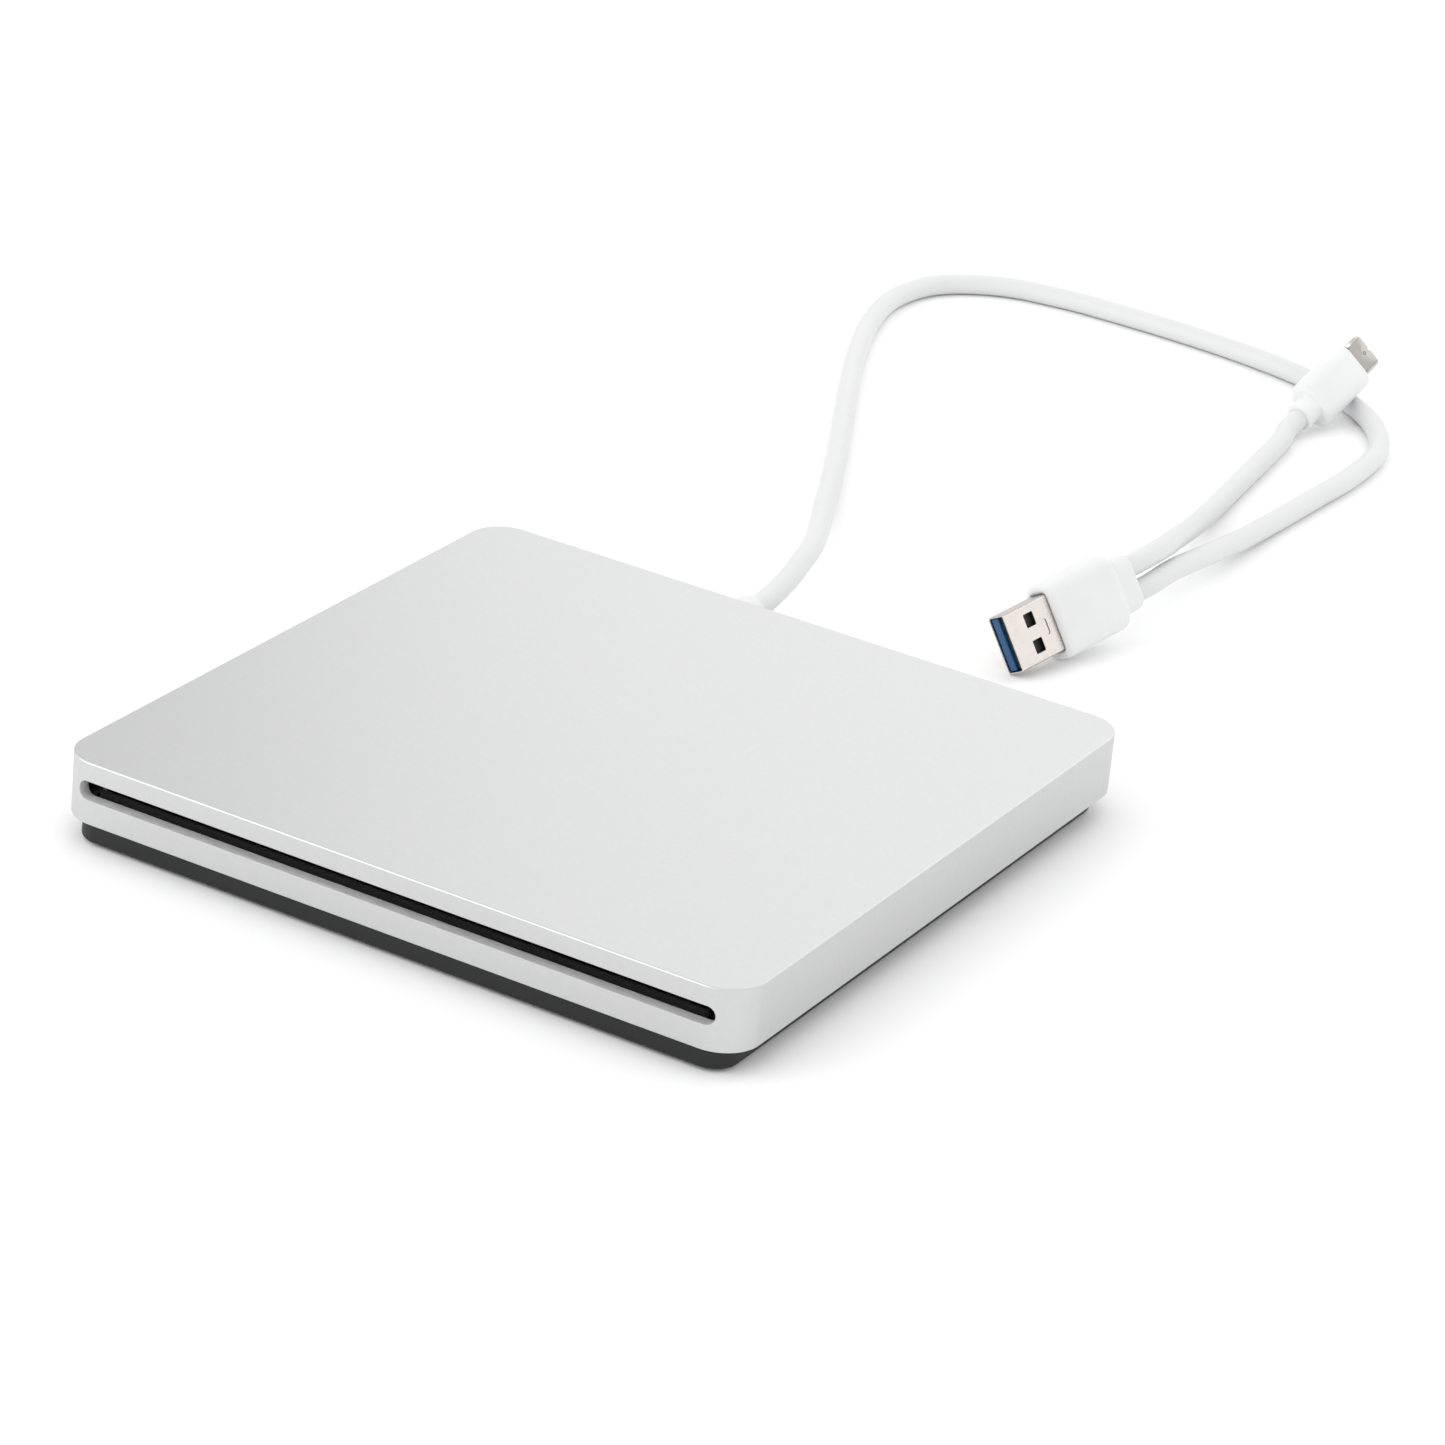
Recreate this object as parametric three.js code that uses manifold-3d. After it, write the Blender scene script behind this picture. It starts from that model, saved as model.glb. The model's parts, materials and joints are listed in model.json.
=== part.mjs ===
// External slot-loading optical drive with a captive Y cable, in millimetres.
// +X runs right along the disc slot, +Y to the back, +Z up. The origin lies on the resting surface,
// under the middle of the case.
import * as THREE from "three";
import { mergeVertices } from "three/addons/utils/BufferGeometryUtils.js";
import Module from "manifold-3d";

const wasm = await Module();
wasm.setup();

// ---------------------------------------------------------------- driving dimensions

const gap = 0.3; // between pieces that touch on the real object
const seam = 0.1; // between flat pieces that are stacked or screwed together
const running = 0.15; // between a shaft and the hole that it turns or slides in
const rooted = 0.2; // how far a piece reaches into the one that it is joined to
const through = 1; // how far a cutter runs on past the faces that it opens

// case
const caseSize = 142;
const caseTop = 16.9;
const caseCorner = 7.5;
const shellBottom = 4.8;
const shellWall = 2.4;
const shellRoof = 1.3;
const baseBottom = 0.6;
const baseInset = 2.9;
const baseFrontInset = 1.2;
const baseCorner = 5;
const baseWall = 1.6;
const baseFloorTop = 2;
const baseLipTop = 6.3;
const baseBossRadius = 4;

// disc slot and the felts that brush a disc clean inside it
const slotLength = 132;
const slotHeight = 3.65;
const slotBelowTop = 3.7;
const slotMiddle = caseTop - slotBelowTop - slotHeight / 2;
const feltThickness = 1.2;
const feltOpening = 0.9;
const feltShorter = 3;

// feet and case screws
const footRadius = 5;
const footTop = 1.1;
const footRecessTop = 1.2;
const footClearance = 0.2;
const screwHeadRadius = 1.9;
const screwShankRadius = 0.9;
const screwHeadTop = 2;
const screwTip = 4.6;
const screwX = 57;
const screwFrontY = -57;
const screwBackY = 50;

// slim mechanism: a sheet-metal tray and lid round the loading deck and the traverse
const trayHalfWidth = 64;
const trayFront = -66.2;
const trayBack = 56.2;
const trayBottom = 2.6;
const trayTop = 14.6;
const traySheet = 0.6;
const trayWall = 0.8;
const lidTop = 15.2;
const deckBottom = 8.1;
const deckTop = 8.7;
const trayFloor = trayBottom + traySheet;
const nutRadius = 2.3;
const nutTop = 4.8;
const standoffRadius = 2;
const axleRadius = 0.9;
const lidHoleRadius = 9;
const legRadius = 2.2;
const legBottom = 4.9;
const pivotRadius = 1.4;

// circuit boards
const boardBottom = 4;
const boardTop = 5;
const chipBottom = boardTop + seam;
const boardScrewRadius = 1.1;
const mainBoardX = [-20, 53];
const mainBoardY = [24, 49.5];
const bridgeBoardX = [-32, 34];
const bridgeBoardY = [58.8, 66];

// traverse: its own frame lies at the hub, +X pointing from the hub to the front right corner
const hub = new THREE.Vector3(0, -6.5, 0);
const traverseTurn = THREE.MathUtils.degToRad(-45);
const traverseLift = 2.4;
const traverseBottom = 3.8;
const traversePlateTop = 4.8;
const traverseEndTop = 6.5;
const traverseInner = -19;
const traverseOuter = 67;
const traverseHalfWidth = 14.5;
const sledHalfWidth = 12.6;
const sledInner = 15.5;
const sledLength = 15.5;
const sledTravel = 33;
const sledBottom = 4;
const sledTop = 6.3;
const rodRadius = 1;
const rodOffset = 11;
const rodHeight = 5.3;
const rodStart = 13.4;
const rodBlockHalfWidth = 1.9;
const tabWidth = 2.4;
const pocketHalfLength = 4.2;
const pocketHalfWidth = 5.2;
const lensHolderHalfLength = 3.5;
const lensHolderHalfWidth = 4.5;
const lensHolderBottom = 5.2;
const lensPlace = 24;
const feedOffset = 18;
const feedHeight = 5.7;
const feedScrewRadius = 0.9;
const feedMotorRadius = 2.2;
const feedMotorLength = 13.8;
const feedMotorStart = 6;

// spindle
const turntableRadius = 14;
const turntableTop = 8.2;
const statorRadius = 11.5;
const hubRadius = 7.3;
const hubTop = 9.7;

// loading drive: a rack on the cam slider, a pinion, a worm wheel and a worm
const gearModule = 0.5;
const pinionTeeth = 16;
const wheelTeeth = 24;
const gearBottom = 6.3;
const gearTop = 7.3;
const camTravel = 12;
const camInner = -14;
const camOuter = 34;
const camFace = -16.4;
const camThickness = 1.6;
const camTop = 7.3;
const camPins = [-4, 18];
const pinRadius = 0.5;
const camPinHeight = (traverseBottom + traversePlateTop) / 2;
const pinionX = 10;
const wormRadius = 1.5;
const wormPitch = Math.PI * gearModule;
const wormTurns = 6;
const loadingMotorRadius = 3.1;
const loadingMotorStart = pinionX + 8;
const loadingMotorLength = 17;

// loading arms
const armPivot = new THREE.Vector2(46, 38);
const armTip = new THREE.Vector2(50, -31);
const armBottom = 9.15;
const armTop = 9.7;
const armHalfWidth = 3.2;
const rollerPinRadius = 0.8;
const rollerRadius = 2.2;
const rollerGroove = 0.5;
const rollerTop = 13;
const leverPivot = new THREE.Vector2(44, 50);
const leverTip = new THREE.Vector2(2, 51.6);
const leverHalfWidth = 3;
const leverFingerRadius = 1.6;

// cable
const cableRadius = 2.3;
const cableExit = new THREE.Vector3(-16, caseSize / 2, 11);
const reliefLength = 9;
const reliefRadius = 3.3;
const reliefFlange = 4.2;
const reliefFlangeThickness = 3;
const leadRadius = 1.1;

// plugs: each is drawn along +Y from its tip at the origin, +X across it and +Z through it
const usbA = { width: 12, height: 4.5, shell: 18.7, shown: 12.3, body: 18.7, neck: 5.3, sheet: 0.3 };
const usbABody = { width: 16, height: 8, corner: 2.6, edge: 1.2 };
const usbANeck = { width: 12, height: 6.4, corner: 3, edge: 0.8 };
const usbAWindow = { x: 2.75, width: 2.5, y: [5.2, 7.4] };
const usbAContacts = [-3.5, -1.2, 1.2, 3.5];
const usbAPlace = { tip: [25.3, 109.7, 6.2], heading: -14, pitch: 8, roll: 60 };
const usbC = { width: 8.25, height: 2.4, shell: 11, shown: 6.65, body: 18, neck: 4.5, sheet: 0.25 };
const usbCBody = { width: 11.4, height: 6.2, corner: 2.8, edge: 0.8 };
const usbCNeck = { width: 6.4, height: 6.2, corner: 3, edge: 0.8 };
const usbCPlace = { tip: [16.2, 297.2, 12.8], heading: 175, pitch: -18, roll: -45 };
const neckRoot = 2; // how far each neck reaches into its grip
const cablePitch = 5.2; // between the two cables in the wide plug's neck

// The free cable's route, from the strain relief to the wide plug, and from there to the narrow one.
const mainRoute = [
  [-16, 80.3, 11],
  [-16.1, 85, 11],
  [-17.2, 92, 10.9],
  [-19.4, 101.3, 10.4],
  [-22, 109.5, 9.6],
  [-25, 118.5, 8.4],
  [-28.7, 127.7, 7],
  [-32.8, 136.8, 5.6],
  [-36.8, 145.4, 4.4],
  [-40.7, 153.5, 3.4],
  [-45.6, 164, 2.6],
  [-54, 182, 2.4],
  [-63, 200.5, 2.4],
  [-72.3, 219.5, 2.4],
  [-81, 238.5, 2.4],
  [-88, 257, 2.4],
  [-91.5, 274, 2.4],
  [-88.5, 289, 2.4],
  [-77.5, 299, 2.4],
  [-63, 302.6, 2.4],
  [-47, 303.2, 2.4],
  [-30.5, 302.6, 2.4],
  [-14, 300.8, 2.4],
  [2, 297.2, 2.4],
  [16, 290.6, 2.4],
  [27.5, 280.5, 2.4],
  [34.5, 267, 2.4],
  [36.2, 250, 2.4],
  [35.4, 232, 2.4],
  [34.6, 214, 2.5],
  [34.6, 199, 3.5],
  [35.3, 184, 5.7],
  [36.2, 170, 8.1],
  [36.7, 158, 9.8],
];
const branchRoute = [
  [34.3, 158, 14.2],
  [31.8, 170, 11.8],
  [28, 184, 7.9],
  [24.2, 199, 4.4],
  [21.2, 214, 2.6],
  [19, 230, 2.4],
  [17, 246, 2.4],
  [15, 259.5, 2.4],
];

// ---------------------------------------------------------------- materials

const finishes = {
  aluminium: { color: 0xd4d5d6, roughness: 0.38, metalness: 0.9 },
  blackPlastic: { color: 0x232426, roughness: 0.55, metalness: 0 },
  rubber: { color: 0x17181a, roughness: 0.85, metalness: 0 },
  felt: { color: 0x101113, roughness: 1, metalness: 0 },
  sheetSteel: { color: 0xa9adb0, roughness: 0.4, metalness: 0.9 },
  castMetal: { color: 0x8e9194, roughness: 0.5, metalness: 0.8 },
  brightSteel: { color: 0xc9ccce, roughness: 0.2, metalness: 1 },
  nickel: { color: 0xd9d0c8, roughness: 0.25, metalness: 1 },
  whitePlastic: { color: 0xf0f0ef, roughness: 0.45, metalness: 0 },
  acetal: { color: 0xe4e1d6, roughness: 0.5, metalness: 0 },
  bluePlastic: { color: 0x1b5fa5, roughness: 0.4, metalness: 0 },
  circuitBoard: { color: 0x1f5a34, roughness: 0.5, metalness: 0 },
  chip: { color: 0x1b1b1d, roughness: 0.6, metalness: 0 },
  gold: { color: 0xd0a84f, roughness: 0.3, metalness: 1 },
  ribbon: { color: 0xc98a3a, roughness: 0.45, metalness: 0 },
  lensGlass: { color: 0x9fb6d8, roughness: 0.05, metalness: 0 },
};

// ---------------------------------------------------------------- geometry helpers

function toSolid(geometry) {
  const bare = geometry.clone();
  bare.deleteAttribute("normal");
  bare.deleteAttribute("uv");
  const merged = mergeVertices(bare, 1e-4);
  return new wasm.Manifold(
    new wasm.Mesh({
      numProp: 3,
      vertProperties: merged.attributes.position.array,
      triVerts: new Uint32Array(merged.index.array),
    }),
  );
}

function toGeometry(solid) {
  const mesh = solid.getMesh();
  const geometry = new THREE.BufferGeometry();
  geometry.setAttribute("position", new THREE.BufferAttribute(mesh.vertProperties, 3));
  geometry.setIndex(new THREE.BufferAttribute(mesh.triVerts, 1));
  geometry.computeVertexNormals();
  return geometry;
}

function join(...pieces) {
  return toGeometry(pieces.map(toSolid).reduce((sum, piece) => sum.add(piece)));
}

function cut(body, ...tools) {
  return toGeometry(tools.map(toSolid).reduce((rest, tool) => rest.subtract(tool), toSolid(body)));
}

function block(x0, x1, y0, y1, z0, z1) {
  const box = new THREE.BoxGeometry(x1 - x0, y1 - y0, z1 - z0);
  return box.translate((x0 + x1) / 2, (y0 + y1) / 2, (z0 + z1) / 2);
}

// An upright cylinder that stands at x, y.
function post(x, y, radius, z0, z1, sides = 20) {
  const cylinder = new THREE.CylinderGeometry(radius, radius, z1 - z0, sides);
  return cylinder.rotateX(Math.PI / 2).translate(x, y, (z0 + z1) / 2);
}

// A cylinder along X.
function bar(x0, x1, y, z, radius, sides = 16) {
  const cylinder = new THREE.CylinderGeometry(radius, radius, x1 - x0, sides);
  return cylinder.rotateZ(Math.PI / 2).translate((x0 + x1) / 2, y, z);
}

// A flat outline in X and Y, raised from z0 to z1.
function plate(shape, z0, z1, curveSegments = 3) {
  const settings = { depth: z1 - z0, bevelEnabled: false, curveSegments };
  return new THREE.ExtrudeGeometry(shape, settings).translate(0, 0, z0);
}

// An outline in X and Z, drawn out along Y from y0 to y1.
function drawn(shape, y0, y1, curveSegments = 3) {
  const settings = { depth: y1 - y0, bevelEnabled: false, curveSegments };
  return new THREE.ExtrudeGeometry(shape, settings).rotateX(Math.PI / 2).translate(0, y1, 0);
}

// A rounded rectangle drawn out in the same way, with both ends rounded over by "edge".
function roundedDrawn({ width, height, corner, edge }, y0, y1) {
  const shape = roundedRect(width - 2 * edge, height - 2 * edge, Math.max(corner - edge, 0.1));
  const settings = {
    depth: y1 - y0 - 2 * edge,
    bevelSize: edge,
    bevelThickness: edge,
    bevelSegments: 2,
    curveSegments: 2,
  };
  return new THREE.ExtrudeGeometry(shape, settings).rotateX(Math.PI / 2).translate(0, y1 - edge, 0);
}

function roundedRect(width, height, radius, x = 0, y = 0) {
  const shape = new THREE.Shape();
  const right = width / 2 - radius;
  const top = height / 2 - radius;
  shape.absarc(x + right, y + top, radius, 0, Math.PI / 2, false);
  shape.absarc(x - right, y + top, radius, Math.PI / 2, Math.PI, false);
  shape.absarc(x - right, y - top, radius, Math.PI, 1.5 * Math.PI, false);
  shape.absarc(x + right, y - top, radius, 1.5 * Math.PI, 2 * Math.PI, false);
  shape.closePath();
  return shape;
}

// A round piece turned about Z, from a closed list of [radius, height] points.
function turned(points, sides = 24) {
  const outline = points.map(([radius, height]) => new THREE.Vector2(radius, height));
  return new THREE.LatheGeometry(outline, sides).rotateX(Math.PI / 2);
}

// A flat link with round ends between two points.
function link(from, to, halfWidth) {
  const along = to.clone().sub(from);
  const facing = along.angle();
  const shape = new THREE.Shape();
  shape.absarc(from.x, from.y, halfWidth, facing + Math.PI / 2, facing + 1.5 * Math.PI, false);
  shape.absarc(to.x, to.y, halfWidth, facing - Math.PI / 2, facing + Math.PI / 2, false);
  shape.closePath();
  return shape;
}

function polar(radius, angle) {
  return new THREE.Vector2(radius * Math.cos(angle), radius * Math.sin(angle));
}

// A spur gear's outline: straight-sided teeth, thinned so that they mesh with play.
function gearOutline(teeth) {
  const pitchRadius = (gearModule * teeth) / 2;
  const root = pitchRadius - 1.2 * gearModule;
  const tip = pitchRadius + 0.8 * gearModule;
  const step = (2 * Math.PI) / teeth;
  const rootShare = 0.28;
  const tipShare = 0.11;
  const points = [];
  for (let tooth = 0; tooth < teeth; tooth++) {
    points.push(polar(root, (tooth - rootShare) * step));
    points.push(polar(tip, (tooth - tipShare) * step));
    points.push(polar(tip, (tooth + tipShare) * step));
    points.push(polar(root, (tooth + rootShare) * step));
  }
  return new THREE.Shape(points);
}

function tube(points, radius, sides, step) {
  const curve = new THREE.CatmullRomCurve3(points, false, "centripetal");
  const corners = [];
  for (let side = 0; side < sides; side++) {
    corners.push(polar(radius, (2 * Math.PI * (side + 0.5)) / sides));
  }
  const section = new THREE.Shape(corners);
  const steps = Math.ceil(curve.getLength() / step);
  return new THREE.ExtrudeGeometry(section, { steps, extrudePath: curve });
}

// ---------------------------------------------------------------- scene graph helpers

const root = new THREE.Group();

function add(parent, name, finish, geometry) {
  const mesh = new THREE.Mesh(geometry, new THREE.MeshStandardMaterial(finishes[finish]));
  mesh.name = name;
  parent.add(mesh);
}

// ---------------------------------------------------------------- case

function topShell() {
  const half = caseSize / 2;
  const inner = caseSize - 2 * shellWall;
  const outside = plate(roundedRect(caseSize, caseSize, caseCorner), shellBottom, caseTop, 5);
  const cavityTop = caseTop - shellRoof;
  const cavity = plate(roundedRect(inner, inner, caseCorner - shellWall), 0, cavityTop);
  const slotShape = roundedRect(slotLength, slotHeight, slotHeight / 2 - 0.01, 0, slotMiddle);
  const slot = drawn(slotShape, -half - through, -half + shellWall + through);
  const wallHole = post(0, 0, reliefRadius + gap, -shellWall - through, shellWall + through, 20);
  wallHole.rotateX(Math.PI / 2).translate(cableExit.x, half, cableExit.z);
  add(root, "top_shell", "aluminium", cut(outside, cavity, slot, wallHole));
}

const screwPlaces = [
  [-screwX, screwFrontY],
  [screwX, screwFrontY],
  [-screwX, screwBackY],
  [screwX, screwBackY],
];

// The base's slab stands forward of its lip, which fits inside the shell.
function baseTray() {
  const width = caseSize - 2 * baseInset;
  const depth = caseSize - baseFrontInset - baseInset;
  const middle = (baseFrontInset - baseInset) / 2;
  const slabTop = shellBottom - seam;
  const slab = plate(roundedRect(width, depth, baseCorner, 0, middle), baseBottom, slabTop);
  const lip = plate(roundedRect(width, width, baseCorner), slabTop - rooted, baseLipTop);
  const hollow = width - 2 * baseWall;
  const cavity = plate(roundedRect(hollow, hollow, baseCorner - baseWall), baseFloorTop, caseTop);
  return cut(join(slab, lip), cavity, reliefNotch());
}

// The way that the strain relief's flange drops in through the lip.
function reliefNotch() {
  const halfWidth = reliefFlange + 0.4;
  const depth = 8;
  const back = caseSize / 2;
  const left = cableExit.x - halfWidth;
  const right = cableExit.x + halfWidth;
  return block(left, right, back - depth, back, shellBottom + rooted, caseTop);
}

function baseCover() {
  const bosses = screwPlaces.map(([x, y]) =>
    post(x, y, baseBossRadius, baseFloorTop - rooted, trayBottom - seam),
  );
  const bores = screwPlaces.flatMap(([x, y]) => [
    post(x, y, footRadius + footClearance, 0, footRecessTop, 20),
    post(x, y, screwHeadRadius + gap, 0, screwHeadTop + seam, 16),
    post(x, y, screwShankRadius + gap, 0, trayBottom, 12),
  ]);
  add(root, "base_cover", "blackPlastic", cut(join(baseTray(), ...bosses), ...bores));
}

function feetAndScrews() {
  const corners = ["front_left", "front_right", "back_left", "back_right"];
  screwPlaces.forEach(([x, y], index) => {
    add(root, "foot_" + corners[index], "rubber", post(x, y, footRadius, 0, footTop, 20));
    const head = post(x, y, screwHeadRadius, footTop + footClearance, screwHeadTop, 16);
    const shank = post(x, y, screwShankRadius, screwHeadTop - rooted, screwTip, 12);
    add(root, "case_screw_" + corners[index], "brightSteel", join(head, shank));
  });
}

function slotFelts() {
  const front = -caseSize / 2 + shellWall + seam;
  const back = front + feltThickness;
  const right = slotLength / 2 - feltShorter;
  const ceiling = caseTop - shellRoof - gap;
  const upper = block(-right, right, front, back, slotMiddle + feltOpening, ceiling);
  const lower = block(-right, right, front, back, baseLipTop + gap, slotMiddle - feltOpening);
  add(root, "slot_felt_upper", "felt", upper);
  add(root, "slot_felt_lower", "felt", lower);
}

// ---------------------------------------------------------------- slim mechanism, fixed parts

const pinionRadius = (gearModule * pinionTeeth) / 2;
const wheelRadius = (gearModule * wheelTeeth) / 2;
const pinionY = camFace - camThickness - pinionRadius - 0.6;
const wheelY = pinionY - pinionRadius - wheelRadius;
const wormY = wheelY - wheelRadius - wormRadius - 0.5;

// Moves a piece from the traverse's frame to the case's.
function fromTraverse(geometry) {
  return geometry.rotateZ(traverseTurn).translate(hub.x, hub.y, 0);
}

const boardPosts = [
  [-15, 28],
  [48, 28],
  [-15, 46],
  [30, 46],
];

// The tray is open above, and at the front over the deck, where the disc comes in.
function openTray() {
  const right = trayHalfWidth;
  const innerRight = right - trayWall;
  const innerFront = trayFront + trayWall;
  const innerBack = trayBack - trayWall;
  const above = trayTop + through;
  const outside = block(-right, right, trayFront, trayBack, trayBottom, trayTop);
  const inside = block(-innerRight, innerRight, innerFront, innerBack, trayFloor, above);
  const mouth = block(-innerRight, innerRight, trayFront - through, innerFront + through, deckTop, above);
  const plugWindow = block(-1, 25, innerBack - through, trayBack + through, 5, 7.6);
  return cut(outside, inside, mouth, plugWindow);
}

function driveChassis() {
  const foot = trayFloor - rooted;
  const nuts = screwPlaces.map(([x, y]) => post(x, y, nutRadius, foot, nutTop, 12));
  const standoffs = boardPosts.map(([x, y]) => post(x, y, standoffRadius, foot, boardBottom - seam, 12));
  const axles = [pinionY, wheelY].map((y) =>
    fromTraverse(post(pinionX, y, axleRadius, foot, gearTop + seam, 12)),
  );
  const holes = screwPlaces.map(([x, y]) =>
    post(x, y, screwShankRadius + 0.2, trayBottom - through, nutTop + through, 12),
  );
  const solid = join(openTray(), ...nuts, ...standoffs, ...axles);
  add(root, "drive_chassis", "sheetSteel", cut(solid, ...holes));
}

// The lid has a pressed ring round the hole over the spindle's clamp.
function driveLid() {
  const bottom = trayTop + seam;
  const sheet = block(-trayHalfWidth, trayHalfWidth, trayFront, trayBack, bottom, lidTop);
  const pressed = trayTop - gap;
  const ring = turned([
    [13.5, bottom],
    [14.5, pressed],
    [16.5, pressed],
    [17.5, bottom],
    [17.5, bottom + rooted],
    [13.5, bottom + rooted],
    [13.5, bottom],
  ]);
  ring.translate(hub.x, hub.y, 0);
  const hole = post(hub.x, hub.y, lidHoleRadius, trayTop - through, caseTop, 24);
  add(root, "drive_lid", "sheetSteel", join(cut(sheet, hole), ring));
}

// What the deck leaves clear, in the traverse's frame: the traverse, the cam slider and the motor.
function deckWindows() {
  const camNear = camFace - 3;
  const camStart = camInner - camTravel - 2;
  return [
    block(traverseInner - 2, caseSize, camNear, feedOffset + 4, 0, caseTop),
    block(camStart, camOuter + 2, camNear, camFace, 0, caseTop),
    block(pinionX - 6, pinionX + 26, wormY - 4, wormY + 4, 0, caseTop),
  ].map(fromTraverse);
}

function loadingDeck() {
  const margin = 1.4;
  const right = trayHalfWidth - margin;
  const sheet = block(-right, right, trayFront + 1.6, trayBack - margin, deckBottom, deckTop);
  const legs = screwPlaces
    .filter(([x, y]) => x < 0 || y > 0)
    .map(([x, y]) => post(x, y, legRadius, legBottom, deckBottom + rooted, 12));
  const pivots = [
    [-armPivot.x, armPivot.y],
    [armPivot.x, armPivot.y],
    [leverPivot.x, leverPivot.y],
  ].map(([x, y]) => post(x, y, pivotRadius, deckTop - rooted, armTop + 0.2, 16));
  add(root, "loading_deck", "sheetSteel", join(cut(sheet, ...deckWindows()), ...legs, ...pivots));
}

function mainBoard() {
  const board = block(...mainBoardX, ...mainBoardY, boardBottom, boardTop);
  const holes = boardPosts.map(([x, y]) =>
    post(x, y, boardScrewRadius, boardBottom - through, boardTop + through, 12),
  );
  add(root, "main_board", "circuitBoard", cut(board, ...holes));
  add(root, "controller_chip", "chip", block(8, 20, 30, 42, chipBottom, 6.4));
  add(root, "motor_driver_chip", "chip", block(32, 39, 31, 38, chipBottom, 6.2));
  add(root, "traverse_ribbon", "ribbon", block(-16, -6, 15.5, 27, chipBottom, 5.3));
}

// The bridge from the drive's connector to the cable stands behind the tray.
function bridgeBoard() {
  const board = block(...bridgeBoardX, ...bridgeBoardY, boardBottom, boardTop);
  add(root, "bridge_board", "circuitBoard", board);
  add(root, "sata_connector", "blackPlastic", block(0, 24, 46, 58.6, chipBottom + seam, 7.4));
  add(root, "bridge_chip", "chip", block(27, 32, 60, 65, chipBottom, 6));
  add(root, "cable_header", "acetal", block(-31, -22, 60, 65, chipBottom, 7.6));
}

// ---------------------------------------------------------------- traverse

const traverse = new THREE.Group();
traverse.position.copy(hub);
traverse.rotation.z = traverseTurn;
root.add(traverse);

const sledOuterLimit = sledInner + sledLength + sledTravel;

const rodEnd = traverseOuter - 1;
const socketEnd = rodEnd + 0.2;
const rodOffsets = [-rodOffset, rodOffset];

// The plate, with the sled's opening and the spindle motor's hole.
function traversePlate() {
  const right = traverseHalfWidth;
  const sheet = block(traverseInner, traverseOuter, -right, right, traverseBottom, traversePlateTop);
  const openRight = sledHalfWidth + gap;
  const opening = block(14.8, sledOuterLimit + 0.4, -openRight, openRight, 0, caseTop);
  return cut(sheet, opening, post(0, 0, 2, 0, caseTop, 12));
}

// What stands on the plate to hold the rods and the feed screw, and under the feed motor.
function traverseHolders() {
  const right = traverseHalfWidth;
  const foot = traversePlateTop - rooted;
  const tabEdge = right - rooted;
  const tabStart = traverseOuter - tabWidth;
  const rodBlocks = rodOffsets.map((y) =>
    block(12.4, 14.6, y - rodBlockHalfWidth, y + rodBlockHalfWidth, foot, traverseEndTop),
  );
  return [
    ...rodBlocks,
    block(sledOuterLimit + 0.7, traverseOuter, -right, right, foot, traverseEndTop),
    block(tabStart, traverseOuter, tabEdge, feedOffset + 1.4, traverseBottom, traverseEndTop),
    block(4, 20, tabEdge, feedOffset - feedMotorRadius - seam, traverseBottom, traversePlateTop),
  ];
}

// The pins that ride in the cam slider's slots.
function liftPins() {
  const root = -traverseHalfWidth + 0.5;
  const end = camFace - camThickness + rooted + gap;
  return camPins.map((x) => {
    const pin = new THREE.CylinderGeometry(pinRadius, pinRadius, root - end, 12);
    return pin.translate(x, (root + end) / 2, camPinHeight);
  });
}

function traverseFrame() {
  const body = join(traversePlate(), ...traverseHolders(), ...liftPins());
  const sockets = rodOffsets.map((y) => bar(rodStart - 0.2, socketEnd, y, rodHeight, rodRadius + seam));
  const screwSocket = bar(20, socketEnd, feedOffset, feedHeight, feedScrewRadius + running);
  add(traverse, "traverse_frame", "castMetal", cut(body, ...sockets, screwSocket));
}

function guideRods() {
  add(traverse, "guide_rod_main", "brightSteel", bar(rodStart, rodEnd, rodOffset, rodHeight, rodRadius));
  add(traverse, "guide_rod_sub", "brightSteel", bar(rodStart, rodEnd, -rodOffset, rodHeight, rodRadius));
}

function spindleMotor() {
  const bottom = traversePlateTop + seam;
  const top = 6;
  const bore = 1.4;
  const stator = turned(
    [
      [bore, bottom],
      [statorRadius, bottom],
      [statorRadius, top],
      [bore, top],
      [bore, bottom],
    ],
    32,
  );
  add(traverse, "spindle_stator", "castMetal", stator);
  const turntable = turned(
    [
      [0, 4.4],
      [1.2, 4.4],
      [1.2, 6.4],
      [13, 6.4],
      [turntableRadius, 7.4],
      [turntableRadius, turntableTop],
      [hubRadius + 0.6, turntableTop],
      [hubRadius, turntableTop + 0.3],
      [hubRadius, hubTop - 0.6],
      [hubRadius - 1, hubTop],
      [0, hubTop],
    ],
    32,
  );
  add(traverse, "spindle_turntable", "blackPlastic", turntable);
}

function pickupSled() {
  const body = block(sledInner, sledInner + sledLength, -sledHalfWidth, sledHalfWidth, sledBottom, sledTop);
  const rodHoles = rodOffsets.map((y) => bar(0, 40, y, rodHeight, rodRadius + running));
  const pocketStart = lensPlace - pocketHalfLength;
  const pocketEnd = lensPlace + pocketHalfLength;
  const pocket = block(pocketStart, pocketEnd, -pocketHalfWidth, pocketHalfWidth, 4.7, sledTop + through);
  add(traverse, "pickup_sled", "castMetal", cut(body, ...rodHoles, pocket));
  const nutFace = feedOffset - feedScrewRadius - 0.2;
  const nutBottom = traversePlateTop + 0.2;
  const nut = block(sledInner + 6, sledInner + 11, sledHalfWidth + seam, nutFace, nutBottom, sledTop);
  add(traverse, "feed_nut", "acetal", nut);
}

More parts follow.
